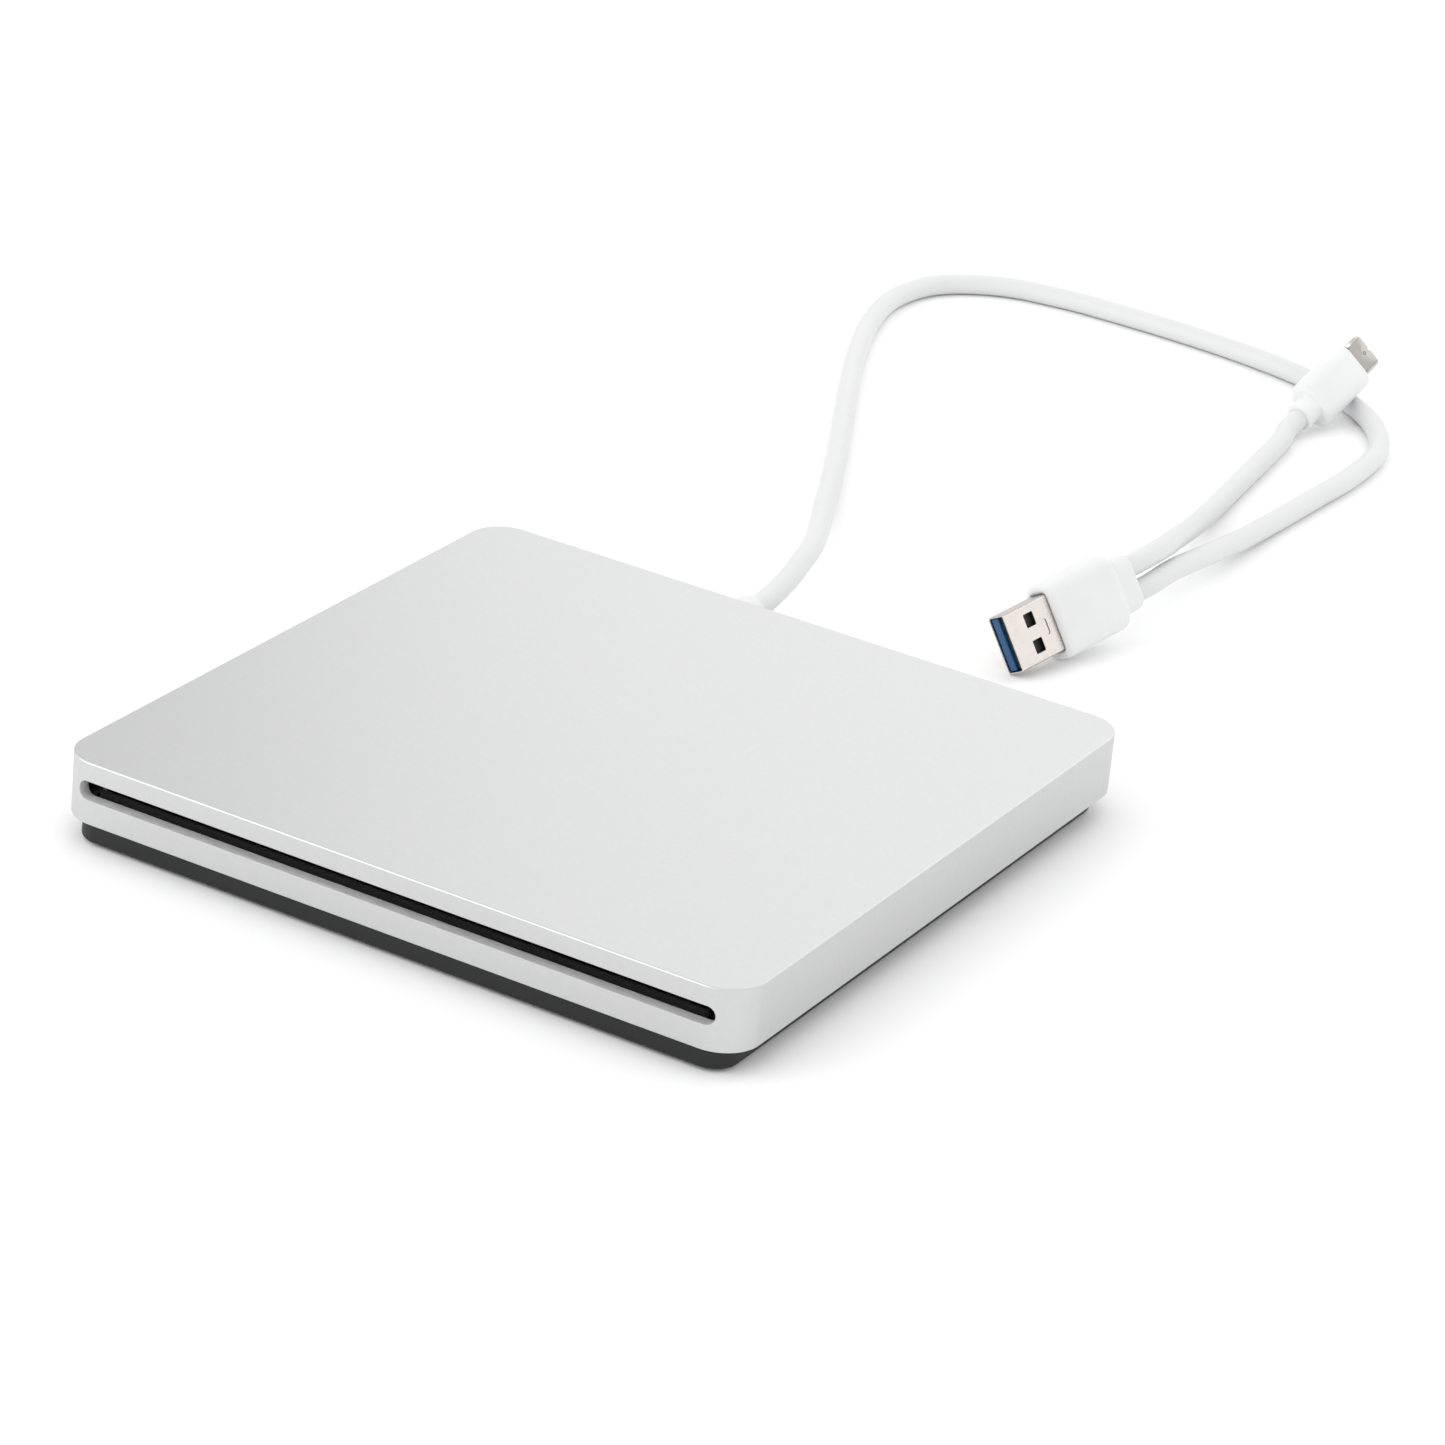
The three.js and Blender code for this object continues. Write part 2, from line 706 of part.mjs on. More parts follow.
function objective() {
  const along = lensHolderHalfLength;
  const across = lensHolderHalfWidth;
  const holder = block(-along, along, -across, across, lensHolderBottom, sledTop);
  add(traverse, "lens_holder", "blackPlastic", holder.translate(lensPlace, 0, 0));
  const profile = [
    [0, 6.35],
    [2.1, 6.35],
    [2.1, 6.5],
    [1.5, 6.75],
    [0, 6.85],
  ];
  add(traverse, "objective_lens", "lensGlass", turned(profile, 16).translate(lensPlace, 0, 0));
}

function feedDrive() {
  const motorEnd = feedMotorStart + feedMotorLength;
  const motor = bar(feedMotorStart, motorEnd, feedOffset, feedHeight, feedMotorRadius, 20);
  add(traverse, "feed_motor", "sheetSteel", motor);
  const screw = bar(motorEnd + 0.4, rodEnd, feedOffset, feedHeight, feedScrewRadius, 12);
  add(traverse, "feed_screw", "brightSteel", screw);
}

// ---------------------------------------------------------------- loading drive

function camSlider() {
  const near = camFace - camThickness;
  const strip = block(camInner, camOuter, near, camFace, traverseBottom, camTop);
  const slots = camPins.map((x) => drawn(camSlot(x), near - through, camFace + through));
  add(traverse, "cam_slider", "acetal", join(cut(strip, ...slots), rack(near)));
}

// A slanted slot that lifts the pin at x by traverseLift while the slider moves by camTravel.
function camSlot(x) {
  const clear = pinRadius + gap;
  const low = camPinHeight;
  const high = low + traverseLift;
  const far = x + camTravel;
  const corners = [
    [x - clear, low - clear],
    [x + clear, low - clear],
    [far + clear, high - clear],
    [far + clear, high + clear],
    [far - clear, high + clear],
    [x - clear, low + clear],
  ];
  return new THREE.Shape(corners.map(([along, up]) => new THREE.Vector2(along, up)));
}

// The rack stands on the slider's outer face, level with the pinion.
function rack(face) {
  const pitch = Math.PI * gearModule;
  const buried = face + rooted;
  const rootLine = face - 0.2;
  const tipLine = rootLine - 2 * gearModule;
  const rootHalf = 0.26 * pitch;
  const tipHalf = 0.1 * pitch;
  const shape = new THREE.Shape();
  const first = Math.ceil((camInner + 1 - pinionX) / pitch);
  const last = Math.floor((camOuter - 1 - pinionX) / pitch);
  const start = pinionX + (first - 0.5) * pitch;
  const end = pinionX + (last + 0.5) * pitch;
  shape.moveTo(start, buried);
  shape.lineTo(start, rootLine);
  for (let tooth = first; tooth < last; tooth++) {
    const middle = pinionX + (tooth + 0.5) * pitch;
    shape.lineTo(middle - rootHalf, rootLine);
    shape.lineTo(middle - tipHalf, tipLine);
    shape.lineTo(middle + tipHalf, tipLine);
    shape.lineTo(middle + rootHalf, rootLine);
  }
  shape.lineTo(end, rootLine);
  shape.lineTo(end, buried);
  shape.closePath();
  return plate(shape, gearBottom, camTop);
}

function gear(name, teeth, turn, y) {
  const wheel = plate(gearOutline(teeth), gearBottom, gearTop).rotateZ(turn);
  const bored = cut(wheel, post(0, 0, axleRadius + running, 0, caseTop, 12));
  add(traverse, name, "acetal", bored.translate(pinionX, y, 0));
}

// The worm, with its thread drawn as one ridge for each turn.
function worm(height) {
  const start = -5;
  const end = 6;
  const root = wormRadius - 0.5;
  const profile = [[0, start]];
  for (let turn = 0; turn < wormTurns; turn++) {
    const ridge = start + gap + turn * wormPitch;
    profile.push([root, ridge]);
    profile.push([wormRadius, ridge + 0.5]);
    profile.push([wormRadius, ridge + 0.9]);
    profile.push([root, ridge + 1.4]);
  }
  profile.push([root, end]);
  profile.push([0, end]);
  const solid = turned(profile, 16).rotateY(Math.PI / 2).translate(pinionX, wormY, height);
  add(traverse, "worm", "acetal", solid);
}

function loadingDrive() {
  const height = (gearBottom + gearTop) / 2;
  const motorEnd = loadingMotorStart + loadingMotorLength;
  camSlider();
  gear("slider_pinion", pinionTeeth, Math.PI / 2, pinionY);
  gear("worm_wheel", wheelTeeth, Math.PI / 2 + Math.PI / wheelTeeth, wheelY);
  worm(height);
  const motor = bar(loadingMotorStart, motorEnd, wormY, height, loadingMotorRadius, 20);
  add(traverse, "loading_motor", "sheetSteel", motor);
}

// ---------------------------------------------------------------- loading arms

function loadingArm(side, word) {
  const pivot = new THREE.Vector2(side * armPivot.x, armPivot.y);
  const tip = new THREE.Vector2(side * armTip.x, armTip.y);
  const flat = plate(link(pivot, tip, armHalfWidth), armBottom, armTop, 5);
  const bore = post(pivot.x, pivot.y, pivotRadius + running, 0, caseTop, 16);
  const pin = post(tip.x, tip.y, rollerPinRadius, armTop - rooted, rollerTop - 0.2, 12);
  add(root, "loading_arm_" + word, "sheetSteel", join(cut(flat, bore), pin));
  add(root, "roller_" + word, "rubber", roller().translate(tip.x, tip.y, 0));
}

// A rubber roller with a groove that takes the disc's edge.
function roller() {
  const bore = rollerPinRadius + running;
  const bottom = armTop + 0.2;
  const groove = rollerRadius - rollerGroove;
  const profile = [
    [bore, bottom],
    [rollerRadius, bottom],
    [rollerRadius, slotMiddle - 0.9],
    [groove, slotMiddle - 0.4],
    [groove, slotMiddle + 0.4],
    [rollerRadius, slotMiddle + 0.9],
    [rollerRadius, rollerTop],
    [bore, rollerTop],
    [bore, bottom],
  ];
  return turned(profile, 16);
}

function ejectLever() {
  const flat = plate(link(leverPivot, leverTip, leverHalfWidth), armBottom, armTop, 5);
  const bore = post(leverPivot.x, leverPivot.y, pivotRadius + running, 0, caseTop, 16);
  const finger = post(leverTip.x, leverTip.y, leverFingerRadius, armTop - rooted, rollerTop, 16);
  add(root, "eject_lever", "acetal", join(cut(flat, bore), finger));
}

// ---------------------------------------------------------------- cable and plugs

// Both are measured back from the case's outer face, where the cable leaves it.
const flangeOuter = -shellWall - gap;
const flangeInner = flangeOuter - reliefFlangeThickness;

function strainRelief() {
  const profile = [
    [0, flangeInner],
    [reliefFlange, flangeInner],
    [reliefFlange, flangeOuter],
    [reliefRadius, flangeOuter],
    [reliefRadius, reliefLength - 3],
    [reliefRadius - 0.2, reliefLength - 0.6],
    [reliefRadius - 0.8, reliefLength],
    [0, reliefLength],
  ];
  const relief = turned(profile).rotateX(-Math.PI / 2);
  relief.translate(cableExit.x, cableExit.y, cableExit.z);
  add(root, "strain_relief", "whitePlastic", relief);
}

// The leads from the strain relief to the cable's header on the bridge board.
function internalLeads() {
  const start = new THREE.Vector3(0, flangeInner - gap, 0).add(cableExit);
  const leads = [
    start,
    start.clone().add(new THREE.Vector3(0, -1.5, 0)),
    start.clone().add(new THREE.Vector3(-2, -3, -0.8)),
    new THREE.Vector3(-21.5, 62, 9.2),
  ];
  add(root, "internal_leads", "whitePlastic", tube(leads, leadRadius, 8, 2));
}

// A group that places a plug drawn along +Y from its tip.
function plugGroup({ tip, heading, pitch, roll }) {
  const group = new THREE.Group();
  const pitched = new THREE.Group();
  const rolled = new THREE.Group();
  group.position.set(...tip);
  group.rotation.z = THREE.MathUtils.degToRad(heading);
  pitched.rotation.x = THREE.MathUtils.degToRad(pitch);
  rolled.rotation.y = THREE.MathUtils.degToRad(roll);
  group.add(pitched);
  pitched.add(rolled);
  root.add(group);
  group.updateMatrixWorld(true);
  return rolled;
}

const wide = plugGroup(usbAPlace);
const narrow = plugGroup(usbCPlace);
const wideLength = usbA.shown + usbA.body + usbA.neck;
const narrowLength = usbC.shown + usbC.body + usbC.neck;
const straightOut = 5; // how far a cable runs straight from a plug's neck

// A moulded grip with its neck behind it, and the pocket that the metal shell stands in.
function overmould(plug, grip, neck, pocket) {
  const neckStart = plug.shown + plug.body;
  const housing = roundedDrawn(grip, plug.shown, neckStart);
  const tail = roundedDrawn(neck, neckStart - neckRoot, neckStart + plug.neck);
  return cut(join(housing, tail), pocket);
}

function usbAPlug() {
  const { width, height, shell, sheet } = usbA;
  const side = width / 2 + running;
  const face = height / 2 + running;
  const pocket = block(-side, side, 0, shell + gap, -face, face);
  add(wide, "usb_a_overmould", "whitePlastic", overmould(usbA, usbABody, usbANeck, pocket));
  const outer = drawn(roundedRect(width, height, 0.6), 0, shell, 2);
  const bore = roundedRect(width - 2 * sheet, height - 2 * sheet, 0.35);
  const inner = drawn(bore, -through, shell - sheet, 2);
  const windows = [-usbAWindow.x, usbAWindow.x].map((x) => {
    const half = usbAWindow.width / 2;
    return block(x - half, x + half, ...usbAWindow.y, through, height);
  });
  add(wide, "usb_a_shell", "nickel", cut(outer, inner, ...windows));
}

// The blue tongue fills the lower half of the shell, and carries the contacts.
function usbAInside() {
  const { width, height, shell } = usbA;
  const side = width / 2 - 0.5;
  const top = 0.15;
  const tongue = block(-side, side, 0.3, shell - 0.6, -height / 2 + 0.5, top);
  add(wide, "usb_a_insulator", "bluePlastic", tongue);
  const low = top + seam;
  const high = low + 0.25;
  const fingers = usbAContacts.map((x) => block(x - 0.5, x + 0.5, 1.2, 11, low, high));
  const carrier = block(-4, 4, 10.5, 12, low, high);
  add(wide, "usb_a_contacts", "gold", join(carrier, ...fingers));
}

// A rectangle with fully round ends, as large as the narrow plug's face less "inset" all round.
function usbCFace(inset) {
  const { width, height } = usbC;
  const nearlyHalf = height / 2 - inset - 0.01;
  return roundedRect(width - 2 * inset, height - 2 * inset, nearlyHalf);
}

function usbCPlug() {
  const { width, height, shell, sheet } = usbC;
  const pocket = drawn(usbCFace(-running), 0, shell + gap, 5);
  add(narrow, "usb_c_overmould", "whitePlastic", overmould(usbC, usbCBody, usbCNeck, pocket));
  const bore = drawn(usbCFace(sheet), -through, shell - sheet, 5);
  add(narrow, "usb_c_shell", "nickel", cut(drawn(usbCFace(0), 0, shell, 5), bore));
  const liner = drawn(usbCFace(sheet + seam), 0.4, shell - 0.5, 5);
  const throat = roundedRect(width - 2 * sheet - 1, height - 2 * sheet - 0.9, 0.45);
  add(narrow, "usb_c_insulator", "blackPlastic", cut(liner, drawn(throat, 0, 6, 3)));
}

// The points that carry a cable straight out of a plug's neck, at "side" across the plug.
function outOf(plug, length, side) {
  const places = [length + gap, length + straightOut];
  return places.map((y) => plug.localToWorld(new THREE.Vector3(side, y, 0)));
}

function cables() {
  const toVectors = (route) => route.map((point) => new THREE.Vector3(...point));
  const step = 4.4 * cableRadius;
  const toWide = outOf(wide, wideLength, cablePitch / 2).reverse();
  const main = [...toVectors(mainRoute), ...toWide];
  add(root, "main_cable", "whitePlastic", tube(main, cableRadius, 10, step));
  const fromWide = outOf(wide, wideLength, -cablePitch / 2);
  const toNarrow = outOf(narrow, narrowLength, 0).reverse();
  const branch = [...fromWide, ...toVectors(branchRoute), ...toNarrow];
  add(root, "branch_cable", "whitePlastic", tube(branch, cableRadius, 10, step));
}

topShell();
baseCover();
feetAndScrews();
slotFelts();
driveChassis();
driveLid();
loadingDeck();
mainBoard();
bridgeBoard();
traverseFrame();
guideRods();
spindleMotor();
pickupSled();
objective();
feedDrive();
loadingDrive();
loadingArm(-1, "left");
loadingArm(1, "right");
ejectLever();
strainRelief();
internalLeads();
usbAPlug();
usbAInside();
usbCPlug();
cables();

export default root;
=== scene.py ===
# External slot-loading optical drive with a captive Y cable. Lengths are in metres and angles in
# degrees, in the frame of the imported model: +X along the disc slot, +Y to the back, +Z up.

import json
import math

import bmesh
import bpy
from mathutils import Matrix, Vector


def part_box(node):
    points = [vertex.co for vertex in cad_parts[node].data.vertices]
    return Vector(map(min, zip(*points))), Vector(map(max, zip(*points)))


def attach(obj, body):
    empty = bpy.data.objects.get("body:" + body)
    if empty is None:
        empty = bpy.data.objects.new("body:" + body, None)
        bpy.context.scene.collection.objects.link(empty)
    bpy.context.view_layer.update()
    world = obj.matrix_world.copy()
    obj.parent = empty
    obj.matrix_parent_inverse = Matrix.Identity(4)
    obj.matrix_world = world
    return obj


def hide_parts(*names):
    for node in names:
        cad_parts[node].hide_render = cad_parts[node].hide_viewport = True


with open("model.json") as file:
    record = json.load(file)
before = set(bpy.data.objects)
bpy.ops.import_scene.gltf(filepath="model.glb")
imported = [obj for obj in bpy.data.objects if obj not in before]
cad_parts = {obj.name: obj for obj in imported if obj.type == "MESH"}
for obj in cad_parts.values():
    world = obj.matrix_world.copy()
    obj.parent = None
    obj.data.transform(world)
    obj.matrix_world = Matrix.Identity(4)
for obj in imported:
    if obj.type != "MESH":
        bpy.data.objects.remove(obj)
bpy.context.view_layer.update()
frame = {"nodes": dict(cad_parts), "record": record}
nodes = frame["nodes"]
MM = 0.001

# ------------------------------------------------------------------ driving dimensions

# camera
CAMERA_AZIMUTH = 28.455
CAMERA_ELEVATION = 24.78
CAMERA_ROLL = 5.777
CAMERA_DISTANCE = 1.007
CAMERA_TARGET = Vector((0.0125, 0.0202, 0.0169))
CAMERA_LENS_MM = 136.4
CAMERA_SENSOR_MM = 36

# light: each softbox has its place, what it faces, its size and its power in watts
STUDIO_BRIGHTNESS = 1.1
STUDIO_DIM_SIDE = Vector((-0.5, 0.77, 0.4))
STUDIO_DIMMEST = 0.82
SOFTBOXES = [
    ("key", (-0.8, -0.9, 0.7), (0, 0, 0), (1.2, 0.9), 6),
    ("back_wash", (0.03, 0.6, 0.42), (0.03, 0, 0.42), (1.0, 0.7), 1.35),
]

# case
CASE_CORNER = 7.5 * MM
SHELL_WALL = 2.4 * MM
SHELL_ROOF = 1.3 * MM
SHELL_EDGE = 0.35 * MM
SHELL_RIM = 0.2 * MM
SLOT_LENGTH = 132 * MM
SLOT_HEIGHT = 3.65 * MM
SLOT_BELOW_TOP = 3.7 * MM
SLOT_BEVEL = 0.1 * MM
BASE_TOP = 4.7 * MM
BASE_CORNER = 5 * MM
BASE_WALL = 1.6 * MM
BASE_FLOOR = 2 * MM
BASE_FRONT_INSET = 1.2 * MM
BASE_EDGE = 0.7 * MM
FOOT_RECESS = 5.2 * MM
FOOT_RECESS_TOP = 1.2 * MM
SCREW_HOLE = 2.2 * MM
FOOT_EDGE = 0.3 * MM
FOOT_DISH = 0.1 * MM
FOOT_DISH_SHARE = 0.4
NOTCH_WIDTH = 9.2 * MM
NOTCH_HEIGHT = 12 * MM

# cable
CABLE_RADIUS = 2.3 * MM
CABLE_PITCH = 5.2 * MM
CABLE_GAP = 0.3 * MM
CABLE_STEP = 1.5 * MM
CABLE_EXIT = Vector((-0.016, 0.071, 0.011))
RELIEF_LENGTH = 9 * MM
RELIEF_RADIUS = 3.3 * MM
RELIEF_FLANGE = 4.2 * MM
RELIEF_BORE_GAP = 0.05 * MM
FLANGE_INSIDE = 3.3 * MM
FLANGE_GAP = 0.3 * MM
SEAT_DEPTH = 3 * MM

# plugs: each is drawn along +Y from its tip, +X across it and +Z through it
WIDE = {"width": 12 * MM, "height": 4.5 * MM, "shown": 12.3 * MM, "body": 18.7 * MM, "neck": 5.3 * MM}
WIDE_PLACE = {"tip": (0.0253, 0.1097, 0.0062), "heading": -14, "pitch": 8, "roll": 60}
NARROW = {"width": 8.25 * MM, "height": 2.4 * MM, "shown": 6.65 * MM, "body": 18 * MM, "neck": 4.5 * MM}
NARROW_PLACE = {"tip": (0.0162, 0.2972, 0.0128), "heading": 175, "pitch": -18, "roll": -45}
WIDE_CORNER = 0.55 * MM
WIDE_WINDOW = {"size": (2.8 * MM, 2.6 * MM), "corner": 0.25 * MM, "x": 2.75 * MM, "y": 6.3 * MM}
WIDE_LOCK = {"size": (3.3 * MM, 1.1 * MM), "corner": 0.5 * MM, "y": 9.7 * MM, "depth": 0.2 * MM}
CONTACT_PLACES = (-3.5 * MM, -1.2 * MM, 1.2 * MM, 3.5 * MM)
CONTACT_SIZE = (1 * MM, 0.25 * MM)
NARROW_DIMPLE = {"y": 2.1 * MM, "radius": 0.5 * MM, "depth": 0.14 * MM}
NARROW_NOTCH = {"size": (0.7 * MM, 0.9 * MM), "corner": 0.2 * MM, "depth": 0.5 * MM}
GATE_MARK = {"x": 1.3 * MM, "from_end": 3.4 * MM, "radius": 0.3 * MM, "bottom": 2.9 * MM, "top": 4 * MM}

# The free cable's route: from the strain relief to the wide plug, and from there to the narrow one.
MAIN_ROUTE = [
    (-0.016, 0.0803, 0.011),
    (-0.0161, 0.085, 0.011),
    (-0.0172, 0.092, 0.0109),
    (-0.0194, 0.1013, 0.0104),
    (-0.022, 0.1095, 0.0096),
    (-0.025, 0.1185, 0.0084),
    (-0.0287, 0.1277, 0.007),
    (-0.0328, 0.1368, 0.0056),
    (-0.0368, 0.1454, 0.0044),
    (-0.0407, 0.1535, 0.0034),
    (-0.0456, 0.164, 0.0026),
    (-0.054, 0.182, 0.0024),
    (-0.063, 0.2005, 0.0024),
    (-0.0723, 0.2195, 0.0024),
    (-0.081, 0.2385, 0.0024),
    (-0.088, 0.257, 0.0024),
    (-0.0915, 0.274, 0.0024),
    (-0.0885, 0.289, 0.0024),
    (-0.0775, 0.299, 0.0024),
    (-0.063, 0.3026, 0.0024),
    (-0.047, 0.3032, 0.0024),
    (-0.0305, 0.3026, 0.0024),
    (-0.014, 0.3008, 0.0024),
    (0.002, 0.2972, 0.0024),
    (0.016, 0.2906, 0.0024),
    (0.0275, 0.2805, 0.0024),
    (0.0345, 0.267, 0.0024),
    (0.0362, 0.25, 0.0024),
    (0.0354, 0.232, 0.0024),
    (0.0346, 0.214, 0.0025),
    (0.0346, 0.199, 0.0035),
    (0.0353, 0.184, 0.0057),
    (0.0362, 0.17, 0.0081),
    (0.0367, 0.158, 0.0098),
]
BRANCH_ROUTE = [
    (0.0343, 0.158, 0.0142),
    (0.0318, 0.17, 0.0118),
    (0.028, 0.184, 0.0079),
    (0.0242, 0.199, 0.0044),
    (0.0212, 0.214, 0.0026),
    (0.019, 0.23, 0.0024),
    (0.017, 0.246, 0.0024),
    (0.015, 0.2595, 0.0024),
]

# ------------------------------------------------------------------ materials


def new_material(name, colour, metallic=0.0, roughness=0.5):
    made = bpy.data.materials.new(name)
    made.use_nodes = True
    shader = made.node_tree.nodes["Principled BSDF"]
    shader.inputs["Base Color"].default_value = (*colour, 1)
    shader.inputs["Metallic"].default_value = metallic
    shader.inputs["Roughness"].default_value = roughness
    return made


def shader_of(made):
    return made.node_tree.nodes["Principled BSDF"]


def grain_space(made, size, stretch=(1, 1, 1), turn=(0, 0, 0)):
    """The piece's coordinates in grains of that size, drawn out by stretch along axes turned by turn."""
    tree = made.node_tree
    place = tree.nodes.new("ShaderNodeTexCoord")
    scaling = tree.nodes.new("ShaderNodeMapping")
    scaling.vector_type = "TEXTURE"
    scaling.inputs["Scale"].default_value = [size * along for along in stretch]
    scaling.inputs["Rotation"].default_value = turn
    tree.links.new(place.outputs["Object"], scaling.inputs["Vector"])
    return scaling.outputs["Vector"]


def noise(made, size, detail=2.0, stretch=(1, 1, 1), turn=(0, 0, 0)):
    tree = made.node_tree
    pattern = tree.nodes.new("ShaderNodeTexNoise")
    pattern.inputs["Scale"].default_value = 1
    pattern.inputs["Detail"].default_value = detail
    tree.links.new(grain_space(made, size, stretch, turn), pattern.inputs["Vector"])
    return pattern.outputs["Fac"]


def cells(made, size):
    """Distance to the nearest of scattered points that far apart."""
    tree = made.node_tree
    pattern = tree.nodes.new("ShaderNodeTexVoronoi")
    pattern.inputs["Scale"].default_value = 1
    tree.links.new(grain_space(made, size), pattern.inputs["Vector"])
    return pattern.outputs["Distance"]


def stripes(made, size, axis):
    """Even stripes across one axis, that far apart."""
    tree = made.node_tree
    pattern = tree.nodes.new("ShaderNodeTexWave")
    pattern.bands_direction = axis
    pattern.inputs["Scale"].default_value = math.pi / 10
    tree.links.new(grain_space(made, size), pattern.inputs["Vector"])
    return pattern.outputs["Fac"]


def spread(made, pattern, low, high, start=0.3, end=0.7):
    """The pattern's start..end range as numbers from low to high."""
    tree = made.node_tree
    ranged = tree.nodes.new("ShaderNodeMapRange")
    ranged.inputs["From Min"].default_value = start
    ranged.inputs["From Max"].default_value = end
    ranged.inputs["To Min"].default_value = low
    ranged.inputs["To Max"].default_value = high
    tree.links.new(pattern, ranged.inputs["Value"])
    return ranged.outputs["Result"]


def vary_roughness(made, pattern, low, high):
    made.node_tree.links.new(spread(made, pattern, low, high), shader_of(made).inputs["Roughness"])


def vary_colour(made, pattern, first, second, start=0.3, end=0.7):
    tree = made.node_tree
    mixed = tree.nodes.new("ShaderNodeMix")
    mixed.data_type = "RGBA"
    mixed.inputs["A"].default_value = (*first, 1)
    mixed.inputs["B"].default_value = (*second, 1)
    tree.links.new(spread(made, pattern, 0, 1, start, end), mixed.inputs["Factor"])
    tree.links.new(mixed.outputs["Result"], shader_of(made).inputs["Base Color"])


def add_bumps(made, pattern, depth):
    tree = made.node_tree
    bump = tree.nodes.new("ShaderNodeBump")
    bump.inputs["Distance"].default_value = depth
    before = shader_of(made).inputs["Normal"]
    if before.is_linked:
        tree.links.new(before.links[0].from_socket, bump.inputs["Normal"])
    tree.links.new(pattern, bump.inputs["Height"])
    tree.links.new(bump.outputs["Normal"], before)


def shade(colour, share):
    return tuple(channel * share for channel in colour)


def blasted_aluminium():
    colour = (0.615, 0.617, 0.62)
    made = new_material("blasted_aluminium", colour, metallic=1.0)
    vary_colour(made, noise(made, 1.2 * MM), shade(colour, 0.99), shade(colour, 1.01))
    vary_roughness(made, noise(made, 0.4 * MM), 0.40, 0.46)
    add_bumps(made, noise(made, 0.16 * MM, detail=1), 0.004 * MM)
    return made


def cut_aluminium():
    """The slot's milled walls: duller than the faces, with tool marks along the slot."""
    colour = (0.66, 0.66, 0.664)
    made = new_material("cut_aluminium", colour, metallic=0.15)
    blotches = noise(made, 0.7 * MM, detail=3, stretch=(4, 1, 1))
    vary_colour(made, blotches, shade(colour, 0.85), shade(colour, 1.08))
    vary_roughness(made, noise(made, 0.3 * MM), 0.5, 0.65)
    add_bumps(made, noise(made, 0.15 * MM, stretch=(12, 1, 1)), 0.02 * MM)
    return made


def moulded_plastic(name, colour, roughness, grain, depth):
    """Moulded plastic with a fine spark-eroded texture."""
    made = new_material(name, colour)
    vary_colour(made, noise(made, 14 * MM), shade(colour, 0.97), shade(colour, 1.03))
    vary_roughness(made, noise(made, 4 * grain), roughness - 0.04, roughness + 0.04)
    add_bumps(made, noise(made, grain, detail=1), depth)
    return made


def black_plastic():
    made = moulded_plastic("black_plastic", (0.009, 0.0093, 0.01), 0.5, 0.14 * MM, 0.012 * MM)
    shader_of(made).inputs["Specular IOR Level"].default_value = 0.4
    return made


def white_jacket():
    """A cable's soft extruded jacket, faintly drawn out along its run."""
    colour = (0.665, 0.668, 0.672)
    made = new_material("white_jacket", colour)
    vary_colour(made, noise(made, 20 * MM), shade(colour, 0.985), shade(colour, 1.01))
    vary_roughness(made, noise(made, 1.5 * MM), 0.42, 0.5)
    add_bumps(made, noise(made, 0.5 * MM), 0.006 * MM)
    return made


def white_overmould():
    return moulded_plastic("white_overmould", (0.735, 0.738, 0.741), 0.45, 0.12 * MM, 0.003 * MM)


def plated(name, colour, roughness, turn=(0, 0, 0)):
    """Bright plating with faint drawn streaks, which run along the Y axis that turn gives."""
    made = new_material(name, colour, metallic=1.0, roughness=roughness)
    vary_colour(made, noise(made, 2.5 * MM), shade(colour, 0.95), shade(colour, 1.02))
    streaks = noise(made, 0.08 * MM, stretch=(1, 14, 1), turn=turn)
    vary_roughness(made, streaks, roughness - 0.05, roughness + 0.07)
    add_bumps(made, streaks, 0.0012 * MM)
    return made


def brushed_steel(name, colour, roughness, direction=(1, 30, 1)):
    made = new_material(name, colour, metallic=1.0, roughness=roughness)
    vary_colour(made, noise(made, 12 * MM, detail=4), shade(colour, 0.9), shade(colour, 1.04))
    vary_roughness(made, noise(made, 0.12 * MM, stretch=direction), roughness - 0.06, roughness + 0.08)
    add_bumps(made, noise(made, 0.1 * MM, stretch=direction), 0.002 * MM)
    return made


def cast_metal():
    colour = (0.33, 0.335, 0.34)
    made = new_material("cast_metal", colour, metallic=0.9)
    vary_colour(made, noise(made, 3 * MM, detail=5), shade(colour, 0.85), shade(colour, 1.1))
    vary_roughness(made, noise(made, 0.6 * MM), 0.45, 0.62)
    add_bumps(made, noise(made, 0.5 * MM, detail=4), 0.02 * MM)
    return made


def acetal():
    return moulded_plastic("acetal", (0.78, 0.75, 0.67), 0.42, 0.3 * MM, 0.004 * MM)


def rubber():
    colour = (0.012, 0.012, 0.013)
    made = new_material("rubber", colour)
    vary_colour(made, noise(made, 2 * MM, detail=4), shade(colour, 0.8), shade(colour, 1.6))
    vary_roughness(made, noise(made, 0.5 * MM), 0.72, 0.86)
    add_bumps(made, noise(made, 0.25 * MM, detail=3), 0.02 * MM)
    return made


def felt():
    colour = (0.004, 0.004, 0.0045)
    made = new_material("felt", colour, roughness=1.0)
    shader_of(made).inputs["Sheen Weight"].default_value = 0.12
    shader_of(made).inputs["Specular IOR Level"].default_value = 0.1
    fibres = noise(made, 0.18 * MM, detail=5, stretch=(6, 1, 1))
    vary_colour(made, fibres, shade(colour, 0.5), shade(colour, 2.4))
    add_bumps(made, noise(made, 0.12 * MM, detail=5, stretch=(4, 1, 1)), 0.08 * MM)
    return made


def mechanism_black():
    return moulded_plastic("mechanism_black", (0.02, 0.02, 0.022), 0.45, 0.2 * MM, 0.008 * MM)


